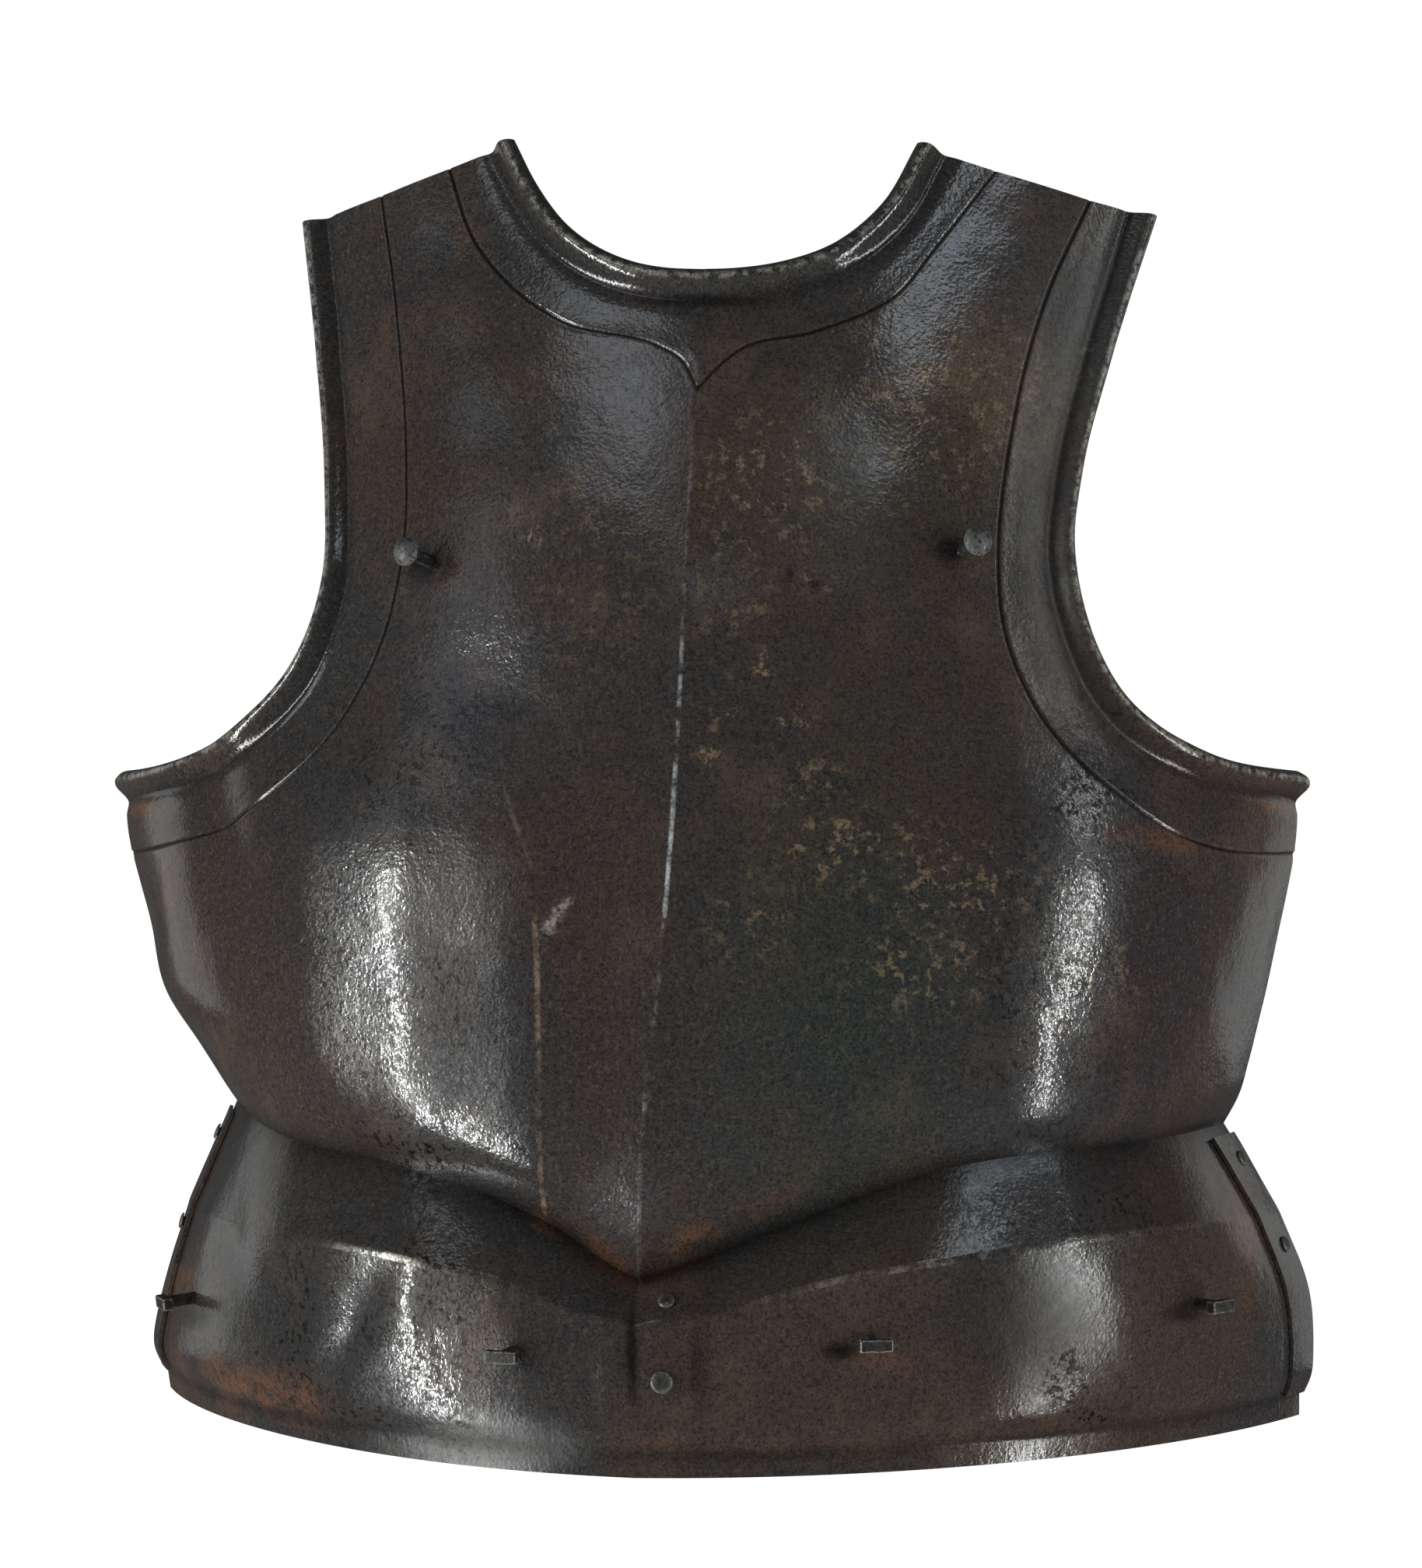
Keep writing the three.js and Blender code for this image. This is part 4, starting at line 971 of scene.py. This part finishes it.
def add_spots(obj):
    mesh = obj.data
    points = np.empty(len(mesh.vertices) * 3)
    mesh.vertices.foreach_get("co", points)
    local = points.reshape(-1, 3) * 1000 - SHIFT
    px, py = seen(local)
    layers = {name: spot_value(px, py, rows) for name, rows in SPOTS.items()}
    wear = RIM_WEAR * np.exp(-((read_layer(mesh, "rim") - RIM_CREST) / CREST_HALF) ** 2)
    for half_width, amount, path in SCRATCHES:
        wear = np.maximum(wear, amount * line_value(px, py, half_width, path))
    layers["wear"] = wear
    from_crease = local[:, 0] - FACET_CURVE(local[:, 2])
    layers["crease_gap"] = np.where(read_layer(mesh, "ridge") < FAR - 1, from_crease, FAR)
    for name, values in layers.items():
        write_layer(mesh, name, values)
    tint = np.ones((len(px), 3))
    for row in TINTS:
        t = dict(zip(TINT_COLUMNS, row))
        dx, dy = (px - t["px"]) / t["radius_x"], (py - t["py"]) / t["radius_y"]
        near = np.exp(-dx ** 2 - dy ** 2)
        colour = np.array([t["red"], t["green"], t["blue"]])
        tint *= 1 + (colour - 1) * near[:, None]
    layer = mesh.attributes.new("tint", "FLOAT_COLOR", "POINT")
    full = np.hstack([tint, np.ones((len(px), 1))])
    layer.data.foreach_set("color", full.astype(np.float32).ravel())


# The sheet and the side plates
PATINA = sheet_material()
sheet = Sheet()
add_half(sheet, LEFT)
add_half(sheet, RIGHT)
pieces = [("forged_sheet", "breastplate_sheet", 52, sheet.thicken(SHEET_THICKNESS))]
for side in (LEFT, RIGHT):
    word = side_name(side)
    pieces.append(("side_strip_" + word, "side_plate_" + word, 38, side_plate(side)))
for name, node_name, smooth_angle, form in pieces:
    piece = new_object(name, *form)
    add_spots(piece)
    dress(piece, node_name, "plate", PATINA, smooth_angle)


# Fasteners
STUD = {"shank": 2.0, "under": 10.4, "height": 14.8, "head": 4.6, "tail": 3.6, "tail_height": 1.6}
PIN = {"shank": 1.9, "height": 11.2, "length": 10.2, "thick": 3.9, "depth": 3.4, "tail": 3.5,
       "tail_height": 1.5, "round": 0.55}
RIVET = {"shank": 1.5, "tail": 2.8, "tail_height": 1.1}
SHEET_GRIP, PIN_GRIP, LAP_GRIP = 2.0, 3.1, 3.2
PLATE_LIFT = SEAT_GAP + SIDE_PLATE_THICKNESS
SIDES = 36


def chest_seat(x, height, side):
    share, level = share_at(np.array([x]), np.array([height]), side)
    return chest_point(share, level, side)[0], chest_normal(share, level, side)[0]


def skirt_seat(share, height, side, lift=0.0):
    low, high = 0.0, FOOT_ROW
    for _ in range(30):
        row = (low + high) / 2
        if skirt_point(share, row, side)[..., 2] > height:
            low = row
        else:
            high = row
    share, row = np.array([share]), np.array([low])
    base, axis = skirt_point(share, row, side), skirt_normal(share, row, side)
    stand = skirt_form(base, share, row, side) + lift
    return (base + axis * stand[:, None])[0], axis[0]


def pin_seat(share, height, side, tilt):
    at, axis = skirt_seat(share, height, side)
    flat = unit(np.array([axis[0], axis[1], 0.0]))
    return at, unit(flat + np.array([0, 0, math.tan(math.radians(tilt))]))


class Fastener(Sheet):
    """A closed small part, drawn in its own frame: across, up, out."""

    def lathe(self, profile, edges):
        turn = np.linspace(0, 2 * math.pi, SIDES + 1)[None, :]
        r, h = np.array(profile, float).T
        r, h = r[:, None], h[:, None]
        grid = np.stack([r * np.cos(turn), r * np.sin(turn), h + 0 * turn], -1)
        marks = np.broadcast_to(np.array(edges, float)[:, None, None], (*grid.shape[:2], 1))
        self.patch(grid, marks, False)

    def block(self, half, middle, rounding):
        """A box with rounded edges; each edge carries the mark that paints it pale, partly as wear and
        partly as a painted highlight.
        """
        half = np.array(half, float)
        steps = [np.concatenate([[-h, -h + 0.12, -h + 0.3], np.linspace(-h + rounding, h - rounding, 7),
                                 [h - 0.3, h - 0.12, h]]) for h in half]
        for axis in range(3):
            one, two = (axis + 1) % 3, (axis + 2) % 3
            for end in (-1, 1):
                a, b = np.meshgrid(steps[one], steps[two], indexing="ij")
                box = np.empty((*a.shape, 3))
                box[..., axis], box[..., one], box[..., two] = end * half[axis], a, b
                inner = np.clip(box, rounding - half, half - rounding)
                lean = unit(box - inner)
                edge = np.clip(np.sort(np.abs(lean), axis=-1)[..., 1:2] * 1.8, 0, 1)
                grid = inner + lean * rounding
                wave = 0.10 * np.sin(grid[..., [0]] * 1.1 + 0.6) * np.sign(grid[..., [1]])
                grid = grid + np.array([0, 1, 0]) * wave + middle
                self.patch(grid, edge, end > 0)

    def place(self, name, node_name, seat, material, body, slot):
        at, axis = seat
        level = unit(np.cross([0, 0, 1], axis))
        up = np.cross(axis, level)
        points = np.array(self.points) @ np.stack([level, up, axis]) + at
        obj = new_object(name, points, self.faces)
        write_layer(obj.data, "edge", np.array(self.marks, np.float32).ravel())
        dress(obj, node_name, body, material, 42)


def tail(radius, height, shank, grip):
    seat = -(grip + SEAT_GAP)
    return [(0, seat - height), (radius * 0.7, seat - height * 0.8), (radius, seat - height * 0.25),
            (radius, seat), (shank, seat)]


def make_rivet(head, grip):
    part = Fastener()
    dome = head * 0.34
    profile = tail(RIVET["tail"], RIVET["tail_height"], RIVET["shank"], grip) + [
        (RIVET["shank"], SEAT_GAP), (head, SEAT_GAP), (head * 0.99, SEAT_GAP + dome * 0.30),
        (head * 0.90, SEAT_GAP + dome * 0.62), (head * 0.72, SEAT_GAP + dome * 0.84),
        (head * 0.40, SEAT_GAP + dome * 0.97), (0, SEAT_GAP + dome)]
    part.lathe(profile, [0] * 7 + [0.4, 0.9, 0.2, 0, 0])
    return part


def make_stud():
    part = Fastener()
    low, top, head = STUD["under"], STUD["height"], STUD["head"]
    profile = tail(STUD["tail"], STUD["tail_height"], STUD["shank"], SHEET_GRIP) + [
        (STUD["shank"], 3.0), (STUD["shank"] * 0.9, low - 0.4), (STUD["shank"] * 1.1, low),
        (head * 0.80, low + 0.2), (head * 0.96, low + 0.8), (head, low + 1.6), (head * 0.93, low + 2.5),
        (head * 0.76, low + 3.4), (head * 0.48, low + 4.1), (head * 0.2, top - 0.05), (0, top)]
    part.lathe(profile, [0] * 8 + [0.1, 0.4, 0.7, 0.5, 0.3, 0.3, 0.4, 0.4])
    return part


def make_pin():
    part = Fastener()
    middle = PIN["height"] - PIN["depth"] / 2
    profile = tail(PIN["tail"], PIN["tail_height"], PIN["shank"], PIN_GRIP) + [
        (PIN["shank"], 2.0), (PIN["shank"], middle), (0, middle)]
    part.lathe(profile, [0] * 8)
    half = (PIN["length"] / 2, PIN["thick"] / 2, PIN["depth"] / 2)
    part.block(half, np.array([0, 0, middle]), PIN["round"])
    return part


DARK_PIN = fastener_material("pin_steel", (0.028, 0.025, 0.023), (0.30, 0.28, 0.26), 0.0)
STUD_STEEL = fastener_material("stud_steel", (0.026, 0.026, 0.027), (0.26, 0.26, 0.25), 0.04)
RIVET_STEEL = fastener_material("rivet_steel", (0.040, 0.036, 0.033), (0.20, 0.19, 0.18), 0.0)
LAP_LIFT, EDGE_SHARE, SMALL_HEAD, LARGE_HEAD = 0.4, 0.972, 2.6, 3.5
for name, share, height, head in (("lap_rivet_upper", 0.038, 51, SMALL_HEAD),
                                  ("lap_rivet_lower", 0.034, 29, LARGE_HEAD)):
    seat = skirt_seat(share, height, RIGHT, LAP_LIFT)
    make_rivet(head, LAP_GRIP).place(name + "_dome", name, seat, RIVET_STEEL, "plate", "rivet")
for side, tops in ((LEFT, (84, 55)), (RIGHT, (82, 55))):
    for word, height in zip(("upper", "lower"), tops):
        name = "side_rivet_%s_%s" % (side_name(side), word)
        seat = skirt_seat(EDGE_SHARE, height, side, PLATE_LIFT)
        part = make_rivet(SMALL_HEAD, SHEET_GRIP + PLATE_LIFT)
        part.place(name + "_dome", name, seat, RIVET_STEEL, "plate", "rivet")
for side, x, height in ((LEFT, -81.2, 273.5), (RIGHT, 85.1, 278.5)):
    name = "strap_stud_" + side_name(side)
    make_stud().place(name + "_round", name, chest_seat(x, height, side), STUD_STEEL, "plate", "stud")
for number, side, share, height, tilt in ((1, LEFT, 0.81, 36.5, -7), (2, LEFT, 0.16, 36.5, -2),
                                          (3, RIGHT, 0.278, 41, 0), (4, RIGHT, 0.746, 44, 2)):
    name = "turning_pin_%d" % number
    make_pin().place(name + "_forged", name, pin_seat(share, height, side, tilt), DARK_PIN,
                     name + "_body", "pin")


# Floor, lights and camera
FLOOR_HALF, FLOOR_SUNK = 9.0, -0.0004
WHITE = (1.0, 1.0, 1.0, 1.0)


def plain_floor():
    s = Shader("pale_floor")
    shader = s.add("ShaderNodeBsdfPrincipled", {
        "Base Color": WHITE, "Roughness": 0.9, "Emission Color": WHITE, "Emission Strength": 1.0})
    s.add("ShaderNodeOutputMaterial", {"Surface": shader.outputs[0]})
    mesh = bpy.data.meshes.new("floor")
    corners = [(x * FLOOR_HALF, y * FLOOR_HALF, FLOOR_SUNK)
               for x, y in ((-1, -1), (1, -1), (1, 1), (-1, 1))]
    mesh.from_pydata(corners, [], [(0, 1, 2, 3)])
    mesh.materials.append(s.material)
    obj = linked("floor", mesh)
    obj.visible_glossy = False
    obj.visible_shadow = False


plain_floor()
LIGHT_MIDDLE = np.array([0, 0, 0.2])
COOL, NEUTRAL = (0.80, 0.90, 1.0), (0.96, 1.0, 0.98)
LIGHT_COLUMNS = ("turn", "rise", "distance", "width", "height", "power", "cool")
LIGHTS = {
    "softbox_left": (-57, -7, 2.2, 0.14, 2.1, 35, 0),
    "softbox_right": (75, -11, 2.2, 0.10, 1.9, 15, 0),
    "upper_left": (-62, 28, 2.4, 0.35, 0.4, 0.25, 1),
    "upper_right": (78, 24, 2.4, 0.14, 0.5, 1.4, 0),
    "fill_left": (-47, 1, 2.4, 0.45, 1.9, 1.7, 1),
    "overhead_left": (-41, 46, 2.4, 0.6, 0.4, 1.1, 1),
    "overhead_right": (64, 46, 2.4, 1.7, 0.3, 4.2, 1),
    "rim_left": (-122, 0, 2.4, 1.0, 1.2, 1.7, 0),
    "rim_right": (142, 0, 2.4, 0.8, 1.4, 1.6, 0),
}
for name, row in LIGHTS.items():
    light = dict(zip(LIGHT_COLUMNS, row))
    data = bpy.data.lights.new(name, "AREA")
    data.shape = "RECTANGLE"
    data.size, data.size_y, data.energy = light["width"], light["height"], light["power"]
    data.color = COOL if light["cool"] else NEUTRAL
    lamp = linked(name, data)
    lamp.location = LIGHT_MIDDLE + heading(light["turn"], light["rise"]) * light["distance"]
    aim = Vector(LIGHT_MIDDLE) - lamp.location
    lamp.rotation_euler = aim.to_track_quat("-Z", "Y").to_euler()
    lamp.visible_camera = False

# The ground behind the part is white, and what the part mirrors of it is dim
world = bpy.data.worlds.new("studio")
bpy.context.scene.world = world
world.use_nodes = True
tree = world.node_tree
dim = tree.nodes["Background"]
dim.inputs["Color"].default_value = (0.95, 0.97, 1.0, 1.0)
dim.inputs["Strength"].default_value = 0.06
white = node(tree, "ShaderNodeBackground", (0, -200), {"Color": WHITE, "Strength": 1.0})
path = node(tree, "ShaderNodeLightPath", (0, 300))
mixed = node(tree, "ShaderNodeMixShader", (300, 0), {0: path.outputs["Is Camera Ray"],
                                                     1: dim.outputs[0], 2: white.outputs[0]})
tree.links.new(mixed.outputs[0], tree.nodes["World Output"].inputs["Surface"])

SENSOR_WIDTH = 36.0
back, right, up = camera_axes()
camera_data = bpy.data.cameras.new("camera")
camera_data.sensor_fit = "HORIZONTAL"
camera_data.sensor_width = SENSOR_WIDTH
camera_data.lens = SENSOR_WIDTH * CAMERA_DISTANCE / SCALE / PHOTO_WIDTH
camera_data.clip_end = 50
camera = linked("camera", camera_data)
place = Vector((AIM + SHIFT + back * CAMERA_DISTANCE) / 1000)
axes = Matrix((right, up, back)).transposed().to_4x4()
camera.matrix_world = Matrix.Translation(place) @ axes
bpy.context.scene.camera = camera

view = bpy.context.scene.view_settings
view.view_transform = "Standard"
view.look = "None"
view.exposure, view.gamma = 0.0, 1.0

bpy.context.view_layer.update()
